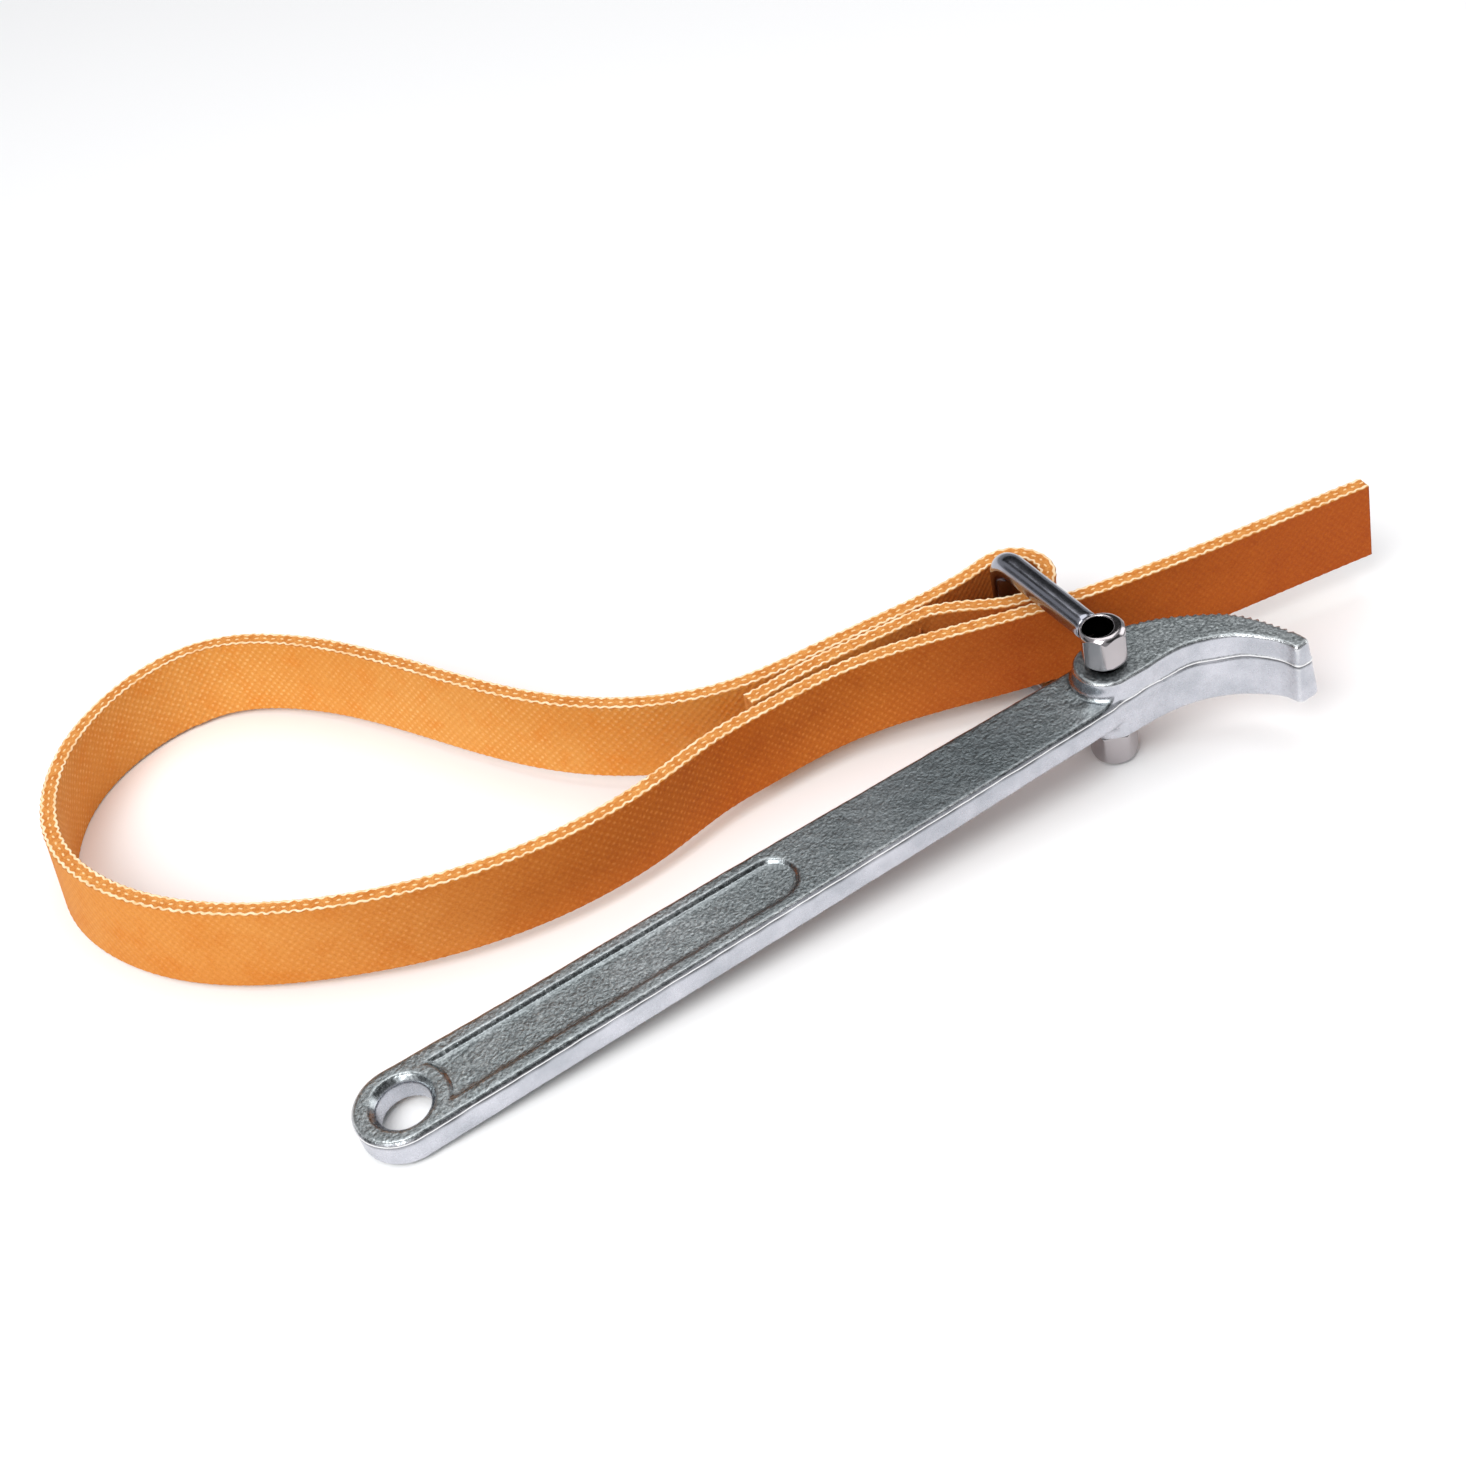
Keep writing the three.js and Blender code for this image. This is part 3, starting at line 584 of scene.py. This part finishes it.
# --------------------------------------------------------- pin, eyes and bail
def ring_sweep(name, centres, sides, ups, radius, n=64, cap=True):
    """a closed round bar through the centres, each ring in the plane of side and up"""
    a = np.arange(n) * 2 * math.pi / n
    verts, faces = [], []
    radius = np.broadcast_to(radius, (len(centres),))
    for c, s, u, r in zip(centres, sides, ups, radius):
        verts.append(c + np.outer(np.cos(a), s) * r + np.outer(np.sin(a), u) * r)
    verts = np.concatenate(verts)
    m_ = len(centres)
    for i in range(m_ - 1):
        for j in range(n):
            k = (j + 1) % n
            faces.append((i * n + j, i * n + k, (i + 1) * n + k, (i + 1) * n + j))
    faces.append(tuple(reversed(range(n))))
    faces.append(tuple((m_ - 1) * n + j for j in range(n)))
    return verts, faces


def build_bail():
    """round bar bent to a U, with rounded ends"""
    y0 = EYE_FLATS / 2 + 0.3
    y1 = BAR_Y - BEND_R
    pts = []
    for t in np.linspace(0, 1, 40):
        pts.append((y0 + (y1 - y0) * t, ARM_H, 0.0))
    for i in range(1, 25):
        a = math.pi / 2 * i / 24
        pts.append((y1 + BEND_R * math.sin(a), ARM_H - BEND_R + BEND_R * math.cos(a), a))
    for t in np.linspace(0, 1, 24)[1:]:
        pts.append((BAR_Y, (ARM_H - BEND_R) * (1 - 2 * t), math.pi / 2))
    for i in range(1, 25):
        a = math.pi / 2 * i / 24
        pts.append((y1 + BEND_R * math.cos(a), -ARM_H + BEND_R - BEND_R * math.sin(a), math.pi / 2 + a))
    for t in np.linspace(0, 1, 40)[1:]:
        pts.append((y1 + (y0 - 1.5 - y1) * t, -ARM_H, math.pi))
    centres = np.array([(0, y, h) for y, h, _ in pts])
    sides = np.array([(1.0, 0, 0)] * len(pts))
    ups = np.array([(0, math.sin(a), math.cos(a)) for _, _, a in pts])   # outward of the bend
    radius = np.full(len(pts), ROD_R)
    # rounded ends
    radius[0] -= 0.35
    radius[1] = ROD_R - 0.05
    radius[-1] -= 0.35
    radius[-2] = ROD_R - 0.05
    centres[1] = centres[0] + (0, 0.35, 0)
    centres[-2] = centres[-1] + (0, 0.35, 0)
    v, f = ring_sweep("bail", centres, sides, ups, radius, 72)
    # slight unevenness of a hand-bent bar
    v = v + 0.035 * np.stack([smooth_noise(v, 0.35, s) for s in (21, 22, 23)], 1)
    ob = new_object("bail_bar", to_row(v), f)
    bm = bmesh.new()
    bm.from_mesh(ob.data)
    bmesh.ops.recalc_face_normals(bm, faces=bm.faces)
    bm.to_mesh(ob.data)
    bm.free()
    for p in ob.data.polygons:
        if len(p.vertices) > 4:
            p.use_smooth = False
    ob.data.materials.append(MAT_BAR)
    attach(ob, "bail")
    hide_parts("bail_rod")
    return ob


def build_eye(node, name):
    """hexagonal eye, tumbled and plated so that every edge is well rounded"""
    ob = remeshed(node, name, 0.00016)
    ob.data.polygons.foreach_set("use_smooth", [True] * len(ob.data.polygons))
    # both ends are domed, lowest at the corners of the hexagon
    L = to_local(co_of(ob))
    r = np.hypot(L[:, 0], L[:, 1])
    top = 24.4 - 2.3 * (np.clip(r - 4.9, 0, None) / 2.26) ** 1.8
    low = 12.6 + 1.6 * (np.clip(r - 5.2, 0, None) / 1.96) ** 1.8
    h = np.clip(np.abs(L[:, 2]), low, top)
    L[:, 2] = np.sign(L[:, 2]) * h
    k = np.where(r > 6.45, (6.45 + (r - 6.45) * 0.62) / np.maximum(r, 1), 1.0)
    L[:, :2] *= k[:, None]
    flip = np.sign(L[:, 2])
    # painted shade down the bore, from its mouth inwards
    mouth = np.hypot(L[:, 0] + 0.9, L[:, 1] - 0.73 * flip)
    inside = np.clip((4.75 - mouth) / 0.25, 0, 1) * np.clip((23.9 - np.abs(L[:, 2])) / 0.5, 0, 1)
    co = to_row(L)
    set_co(ob, relax(co, edges_of(ob.data), np.ones(len(co)), 28))
    a = ob.data.attributes.new("inside", "FLOAT", "POINT")
    a.data.foreach_set("value", inside.astype(np.float32))
    ob.data.materials.clear()
    ob.data.materials.append(MAT_EYE)
    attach(ob, "bail")
    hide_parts(node)
    return ob


def bevelled(node, name, width, segments, material, body, angle=25):
    ob = copy_of_node(node, name + "_src")
    # faces in one plane joined first, so the bevel follows the real edges
    dis = ob.modifiers.new("d", "DECIMATE")
    dis.decimate_type = "DISSOLVE"
    dis.angle_limit = math.radians(1.0)
    bev = ob.modifiers.new("b", "BEVEL")
    bev.width = width
    bev.segments = segments
    bev.limit_method = "ANGLE"
    bev.angle_limit = math.radians(angle)
    bev.harden_normals = False
    ob = applied(ob, name)
    me = ob.data
    me.polygons.foreach_set("use_smooth", [True] * len(me.polygons))
    me.materials.clear()
    me.materials.append(material)
    me.set_sharp_from_angle(angle=math.radians(40))
    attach(ob, body)
    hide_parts(node)
    return ob


# ------------------------------------------------------------------ the belt
BELT_LINE = np.array([
    (-86.2, 52.6), (-78.18, 52.77), (-70.21, 53.24), (-62.12, 53.23), (-54.09, 52.82), (-46.13, 52.29),
    (-38.17, 51.76), (-30.21, 51.3), (-26.31, 50.74), (-22.71, 49.12), (-19.18, 47.26), (-15.78, 44.98),
    (-12.44, 42.55), (-9.06, 40.26), (-5.58, 38.37), (-1.9, 37.16), (2.02, 36.92), (5.92, 37.84),
    (9.25, 40.06), (11.57, 43.42), (12.55, 47.34), (12, 51.23), (10.14, 54.63), (7.27, 57.08),
    (3.72, 58.17), (-0.26, 58.01), (-8.54, 56.71), (-16.61, 56.16), (-24.52, 56.21), (-32.41, 56.56),
    (-40.31, 57.05), (-48.26, 57.59), (-56.26, 58.11), (-64.33, 58.55), (-72.41, 59.05), (-80.39, 59.97),
    (-88.15, 61.67), (-95.63, 64.29), (-102.77, 67.74), (-109.56, 71.93), (-115.97, 76.76), (-121.95, 82.14),
    (-127.48, 87.96), (-132.54, 94.14), (-137.2, 100.61), (-141.52, 107.32), (-145.59, 114.2), (-149.48, 121.21),
    (-153.27, 128.28), (-157.04, 135.37), (-160.85, 142.4), (-164.79, 149.34), (-168.95, 156.12), (-173.41, 162.71),
    (-178.28, 169.08), (-183.63, 175.16), (-189.52, 180.79), (-195.98, 185.53), (-203, 188.94), (-210.55, 190.6),
    (-218.45, 190.53), (-226.4, 188.98), (-234.13, 186.17), (-241.35, 182.33), (-247.83, 177.66), (-253.52, 172.23),
    (-258.43, 166.08), (-262.56, 159.26), (-265.84, 151.9), (-268.15, 144.16), (-269.38, 136.21), (-269.43, 128.24),
    (-268.33, 120.35), (-266.2, 112.65), (-263.19, 105.22), (-259.43, 98.15), (-255.05, 91.49), (-250.11, 85.26),
    (-244.68, 79.44), (-238.82, 74.02), (-232.59, 68.99), (-226.04, 64.33), (-219.24, 60.04), (-212.23, 56.12),
    (-205.04, 52.57), (-197.67, 49.42), (-190.17, 46.66), (-182.53, 44.32), (-174.79, 42.41), (-166.96, 40.94),
    (-159.06, 39.93), (-151.12, 39.39), (-143.15, 39.33), (-135.17, 39.76), (-127.21, 40.71), (-119.29, 42.17),
    (-111.39, 43.92), (-103.51, 45.44), (-95.62, 46.24), (-87.67, 46.55), (-79.65, 46.81), (-71.59, 46.95),
    (-63.57, 46.73), (-55.63, 45.93), (-47.81, 44.52), (-40.07, 42.63), (-32.4, 40.39), (-24.76, 37.95),
    (-17.13, 35.43), (-9.48, 32.97), (-1.8, 30.69), (5.93, 28.64), (13.7, 26.78), (21.51, 25.11),
    (29.35, 23.59), (37.21, 22.21), (45.1, 20.94), (53.01, 19.77), (60.94, 18.67), (68.87, 17.62),
    (76.81, 16.6), (84.75, 15.59), (92.69, 14.56), (100.62, 13.5), (104.9, 12.91),
])


LINE = catmull(BELT_LINE, 40)
ARC = np.concatenate([[0], np.cumsum(np.linalg.norm(np.diff(LINE, axis=0), axis=1))])
BELT_LEN = ARC[-1]


def on_line(s):
    """centre point and unit tangent at arc length s (mm)"""
    p = np.stack([np.interp(s, ARC, LINE[:, k]) for k in (0, 1)], 1)
    e = 0.6
    a = np.stack([np.interp(np.clip(s - e, 0, BELT_LEN), ARC, LINE[:, k]) for k in (0, 1)], 1)
    b = np.stack([np.interp(np.clip(s + e, 0, BELT_LEN), ARC, LINE[:, k]) for k in (0, 1)], 1)
    t = b - a
    return p, t / np.linalg.norm(t, axis=1)[:, None]


# arc length where the loop is furthest from the jaw: the belt is split here
S_SPLIT = float(ARC[np.argmin(LINE[:, 0])])
PITCH = 3.0          # of the zigzag yarns along a cut edge


def belt_section():
    """points round the section: (across, up, kind, v) with kind 0 face, 1 edge.
    across runs from -T/2 to T/2, up from 0 to W. Goes round once, closed."""
    h, w = BELT_T / 2, BELT_W
    nf = 68
    ne = 25
    r = 0.35
    pts = []
    # face on the + side, going up
    for z in np.linspace(r, w - r, nf):
        pts.append((h, z, 0, z - w / 2))
    # top edge from + to -
    for a in np.linspace(h, -h, ne)[1:-1]:
        pts.append((a, w, 1, a))
    for z in np.linspace(w - r, r, nf):
        pts.append((-h, z, 0, z - w / 2))
    for a in np.linspace(-h, h, ne)[1:-1]:
        pts.append((a, 0.0, 1, a))
    return np.array(pts), nf, ne


def belt_piece(name, s0, s1, cap0, cap1):
    step = 0.42
    n = int(math.ceil((s1 - s0) / step)) + 1
    s = np.linspace(s0, s1, n)
    P, T = on_line(s)
    N_ = np.stack([-T[:, 1], T[:, 0]], 1)
    sec, nf, ne = belt_section()
    m_ = len(sec)
    S = np.repeat(s[:, None], m_, 1)
    A = np.repeat(sec[None, :, 0], n, 0).copy()
    Z = np.repeat(sec[None, :, 1], n, 0).copy()
    K = np.repeat(sec[None, :, 2], n, 0)
    V = np.repeat(sec[None, :, 3], n, 0)
    h = BELT_T / 2
    ph = 2 * math.pi * S / PITCH
    sgn = np.sign(V + 1e-9)
    top = (Z > BELT_W / 2).astype(float)
    # irregular hand of the yarns
    wob = 0.5 * np.sin(S * 0.37 + 1.3) + 0.5 * np.sin(S * 0.83 + 4 * top)
    phs = ph + 0.5 * wob + np.where(sgn > 0, 0, 2.2) + top * 1.1
    # yarn centre across the edge: zigzags near each border
    centre = 1.94 + 0.26 * np.sin(phs) + 0.08 * np.sin(S * 1.9 + 2 * top)
    dist = np.abs(np.abs(V) - centre)
    thin = 0.40 + 0.07 * np.sin(S * 0.61 + 1.0 + top) + 0.05 * np.sin(S * 1.43)
    cord = np.exp(-(dist / thin) ** 2) * (K == 1)
    calm = 0.25 + 0.75 * top
    lift = 0.24 * cord * (0.75 + 0.25 * np.sin(phs * 1.0 + 1.57)) * calm
    # dashes: cut yarns between the plies
    dphase = (S / PITCH + 0.12 * wob + 0.35 * top) % 1.0
    dash = np.clip((np.abs(dphase - 0.5) < 0.27) * 1.0, 0, 1) * np.exp(-((V + 0.18 * np.sin(ph * 0.5)) / 0.34) ** 2) * (K == 1)
    dash_soft = np.exp(-((np.abs(dphase - 0.5)) / 0.24) ** 4) * np.exp(-((V + 0.18 * np.sin(ph * 0.5)) / 0.36) ** 2) * (K == 1)
    lift += 0.16 * dash_soft
    # the edge between the yarns is a little hollow and ragged
    rag = 0.05 * np.sin(S * 3.1 + V * 5) + 0.05 * np.sin(S * 5.3 - V * 7.7)
    lift += (rag - 0.12) * (K == 1)
    Z = Z + np.where(K == 1, np.where(top > 0, lift, -lift), 0)
    # scalloped border: yarn bulges past the face near the edge
    near = np.exp(-((BELT_W / 2 - np.abs(V)) / 0.75) ** 2) * (K == 0)
    side = np.sign(A)
    phf = ph + 0.5 * wob + np.where(side > 0, 0, 2.2) + top * 1.1
    A = A + side * near * (0.10 + 0.15 * np.sin(phf)) * calm
    edge_out = np.exp(-((h - np.abs(V)) / 0.5) ** 2) * (K == 1)
    A = A + np.sign(V) * edge_out * 0.10 * np.sin(phs)
    # woven crowns on the faces
    a = 2 * math.pi * S / 2.6
    b = 2 * math.pi * V / 2.8
    crown = np.sin(a) * np.sin(b) * (K == 0)
    A = A + side * (0.03 * crown) * (K == 0)
    # the belt sways a little in its width direction, as laid cloth does
    sway = 0.18 * np.sin(S * 0.031 + 0.6) * (Z / BELT_W - 0.5)
    # the far end of the loop leans: its lower edge is further out
    away = np.clip((-205.0 - P[:, 0]) / 55.0, 0, 1)
    away = (away * away * (3 - 2 * away))[:, None]
    outward = np.where(N_[:, None, 0] < 0, 1.0, -1.0)
    sway = sway + outward * away * 2.4 * (1 - Z / BELT_W)
    # the free end is not cut square: its lower corner is further out
    late = np.clip((S - BELT_LEN + 45) / 45, 0, 1)
    along = 3.3 * late * late * (1 - Z / BELT_W)
    X = P[:, None, 0] + N_[:, None, 0] * (A + sway) + T[:, None, 0] * along
    Y = P[:, None, 1] + N_[:, None, 1] * (A + sway) + T[:, None, 1] * along
    ZZ = BELT_Z + BELT_ZX * X + BELT_ZY * Y + Z
    ZZ = np.maximum(ZZ, 0.02)
    verts = np.stack([(X - CENTRE[0]), (Y - CENTRE[1]), ZZ], -1).reshape(-1, 3) * MM
    idx = np.arange(n * m_).reshape(n, m_)
    nx = np.roll(idx, -1, axis=1)
    quads = np.stack([idx[:-1], nx[:-1], nx[1:], idx[1:]], -1).reshape(-1, 4)
    faces = [tuple(q) for q in quads[:, ::-1]]
    kinds = np.where((sec[:, 2] == 1) | (np.roll(sec[:, 2], -1) == 1), 1, 0)
    mats = np.tile(kinds, n - 1)
    # end caps as strips across the section: + face to - face
    cap_faces, cap_uv = [], []
    def cap(i, flip):
        base = i * m_
        plus = [base + k for k in range(nf)]
        topv = [base + nf + k for k in range(ne - 2)]
        minus = [base + nf + ne - 2 + k for k in range(nf)][::-1]
        bot = [base + 2 * nf + ne - 2 + k for k in range(ne - 2)][::-1]
        # between + and - faces, one quad per step up
        out = []
        for k in range(nf - 1):
            out.append((plus[k], minus[k], minus[k + 1], plus[k + 1]))
        out.append(tuple([plus[-1]] + [minus[-1]] + topv[::-1]))
        out.append(tuple([minus[0]] + [plus[0]] + bot))
        for f in out:
            cap_faces.append(f if not flip else tuple(reversed(f)))
    cap(0, False)
    cap(n - 1, True)
    faces += cap_faces
    mats = np.concatenate([mats, np.ones(len(cap_faces), int)])
    ob = new_object(name, verts, faces)
    me = ob.data
    bm = bmesh.new()
    bm.from_mesh(me)
    bmesh.ops.recalc_face_normals(bm, faces=bm.faces)
    bm.to_mesh(me)
    bm.free()
    me.materials.append(MAT_FACE)
    me.materials.append(MAT_EDGE)
    me.polygons.foreach_set("material_index", mats.astype(np.int32))
    me.polygons.foreach_set("use_smooth", [True] * (len(me.polygons) - len(cap_faces)) + [False] * len(cap_faces))
    # painted shade: darker and redder near the bail, and at the free end
    mid_x = P[:, None, 0] + 0 * Z
    painted_shade = np.clip(1 - np.abs(mid_x + 8) / 40, 0, 1) ** 0.8
    painted_shade = np.maximum(painted_shade, (0.35 * np.clip((mid_x + 50) / 60, 0, 1) + 0.35 * np.clip((mid_x - 20) / 60, 0, 1)) * (S > 500))
    # painted light and shade: the inside run is painted lit, and the outside run beside the handle is painted in shade
    back_x = [-275, -240, -200, -150, -90, -40, 20]
    back_t = [0.62, 0.80, 1.0, 0.98, 0.90, 0.55, 0.4]
    front_x = [-275, -235, -200, -165, -130, -100, -60, -25, 20, 110]
    front_t = [0.70, 0.64, 0.46, 0.26, 0.08, 0.0, 0.10, 0.15, 0.05, 0.0]
    painted_light = np.where(S < S_SPLIT, np.interp(mid_x, back_x, back_t), np.interp(mid_x, front_x, front_t))
    # the weave is worn to a smooth coat outside, and shows best on the inside run
    weave_x = [-275, -215, -170, -120, -70, -30, 20, 110]
    weave_v = [0.32, 0.46, 0.85, 1.00, 0.85, 0.55, 0.34, 0.30]
    weave = np.where(S < S_SPLIT, 1.0, np.interp(mid_x, weave_x, weave_v))
    weave = np.where((S < S_SPLIT) & (mid_x > -60), 0.5, weave)
    for nm, val in (("cord", cord), ("dash", dash_soft), ("painted_shade", painted_shade), ("painted_light", painted_light), ("weave", weave)):
        at = me.attributes.new(nm, "FLOAT", "POINT")
        at.data.foreach_set("value", np.clip(val, 0, 1).astype(np.float32).ravel())
    uv = me.uv_layers.new(name="belt")
    li = np.zeros(len(me.loops), np.int32)
    me.loops.foreach_get("vertex_index", li)
    U = np.stack([S.ravel() * MM, V.ravel() * MM], 1)[li]
    uv.data.foreach_set("uv", U.astype(np.float32).ravel())
    return ob


back = belt_piece("belt_back", 0.0, S_SPLIT, True, False)
front = belt_piece("belt_front", S_SPLIT, BELT_LEN, False, True)
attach(back, "strap")
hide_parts("strap_sewn_end", "strap_loop")
def row_xy(x, y, z=0.02):
    return ((x - CENTRE[0]) * MM, (y - CENTRE[1]) * MM, z)
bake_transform(front, "strap", "strap_tail", start=row_xy(-262, 128), end=row_xy(-14, 128))
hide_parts("strap_tail")

forging = build_forging()
bail = build_bail()
eye_up = build_eye("bail_eye_upper", "eye_upper")
eye_lo = build_eye("bail_eye_lower", "eye_lower")
pin = bevelled("pivot_pin", "pin", 0.0002, 2, MAT_PIN, "bail", 30)


# -------------------------------------------------------------------- seams
def build_seam(node, name):
    """one row of lockstitches: short twisted stitches with a dimple between"""
    lo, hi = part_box(node)
    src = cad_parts[node].data
    co = np.array([v.co for v in src.vertices], float)
    c = co.mean(0)
    # direction of the row's width: longest plan extent of the solid
    q = co[:, :2] - c[:2]
    _, vec = np.linalg.eigh(q.T @ q)
    t = vec[:, 1]
    nrm = vec[:, 0]
    z0, z1 = lo[2], hi[2]
    count = 8
    L = (z1 - z0) / count
    verts, faces = [], []
    half_w = 0.00042
    half_t = 0.00028
    for k in range(count):
        a, b = z0 + k * L + 0.00012, z0 + (k + 1) * L - 0.00012
        rings = 13
        base = len(verts)
        nn = 12
        for i in range(rings):
            f = i / (rings - 1)
            z = a + (b - a) * f
            r = max(0.12, math.sin(math.pi * min(max(f, 0.0), 1.0)) ** 0.45)
            for j in range(nn):
                w = 2 * math.pi * j / nn
                bulge = 1 + 0.10 * math.cos(2 * (w - f * 9.0))
                x = half_w * r * math.cos(w) * bulge
                y = half_t * r * math.sin(w) * bulge
                verts.append((c[0] + t[0] * x + nrm[0] * y, c[1] + t[1] * x + nrm[1] * y, z))
        for i in range(rings - 1):
            for j in range(nn):
                j2 = (j + 1) % nn
                faces.append((base + i * nn + j, base + i * nn + j2, base + (i + 1) * nn + j2, base + (i + 1) * nn + j))
        faces.append(tuple(base + j for j in reversed(range(nn))))
        faces.append(tuple(base + (rings - 1) * nn + j for j in range(nn)))
    ob = new_object(name, verts, faces)
    bm = bmesh.new()
    bm.from_mesh(ob.data)
    bmesh.ops.recalc_face_normals(bm, faces=bm.faces)
    bm.to_mesh(ob.data)
    bm.free()
    ob.data.materials.append(MAT_THREAD)
    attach(ob, "strap")
    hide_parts(node)
    return ob


for i in (1, 2, 3):
    for s in ("outer", "inner"):
        build_seam(f"seam_row_{i}_{s}", f"stitches_{i}_{s}")

# ------------------------------------------------------------------- stage
floor = new_object("floor", [(-6, -6, 0), (6, -6, 0), (6, 6, 0), (-6, 6, 0)], [(0, 1, 2, 3)], False)
NF = Nodes("floor")
NF.put(NF.bsdf, "Base Color", NF.mix(NF.noise(object_coords(NF), 3, 2), (0.93, 0.93, 0.93, 1), (0.95, 0.95, 0.95, 1)))
NF.put(NF.bsdf, "Roughness", 0.9)
NF.bsdf.inputs["Specular IOR Level"].default_value = 0.1
floor.data.materials.append(NF.mat)

world = bpy.data.worlds.new("world")
scene.world = world
world.use_nodes = True
bg = world.node_tree.nodes["Background"]
bg.inputs[0].default_value = (0.96, 0.97, 1.0, 1)
bg.inputs[1].default_value = 0.42


def area(name, loc, target, size, power, color=(1, 1, 1), size_y=None):
    d = bpy.data.lights.new(name, "AREA")
    d.energy = power
    d.color = color
    d.size = size
    if size_y:
        d.shape = "RECTANGLE"
        d.size_y = size_y
    o = bpy.data.objects.new(name, d)
    o.location = loc
    o.rotation_euler = (Vector(target) - Vector(loc)).to_track_quat("-Z", "Y").to_euler()
    scene.collection.objects.link(o)
    return o


area("key", (-0.9, -0.55, 1.1), (-0.05, 0, 0), 0.8, 16)
area("top", (0.1, 0.2, 1.6), (0, 0, 0), 1.4, 11)
area("fill", (1.2, -0.3, 0.6), (0.05, 0, 0), 0.7, 3)


def card(name, loc, target, w, h, value):
    """a plain studio flag, seen only in the polished steel"""
    c, t = Vector(loc), Vector(target)
    q = (t - c).to_track_quat("Z", "Y")
    ob = new_object(name, [c + q @ Vector((x * w / 2, y * h / 2, 0)) for x, y in ((-1, -1), (1, -1), (1, 1), (-1, 1))],
                    [(0, 1, 2, 3)], False)
    M = Nodes(name)
    M.put(M.bsdf, "Base Color", (value, value, value, 1))
    M.put(M.bsdf, "Roughness", 0.9)
    ob.data.materials.append(M.mat)
    ob.visible_camera = False
    ob.visible_shadow = False
    ob.visible_diffuse = False
    return ob


# dark flags high behind and high in front: the flat top faces see the first,
# the walls that face the front see the second, and the softbox is between
card("flag_back", (0.50, 1.22, 1.22), (0, 0, 0.02), 2.8, 1.25, 0.02)
card("flag_front", (0.45, -1.25, 1.25), (0, 0, 0.02), 2.2, 0.8, 0.03)
card("flag_left", (-1.3, 0.5, 0.5), (0, 0, 0.02), 1.2, 0.5, 0.04)
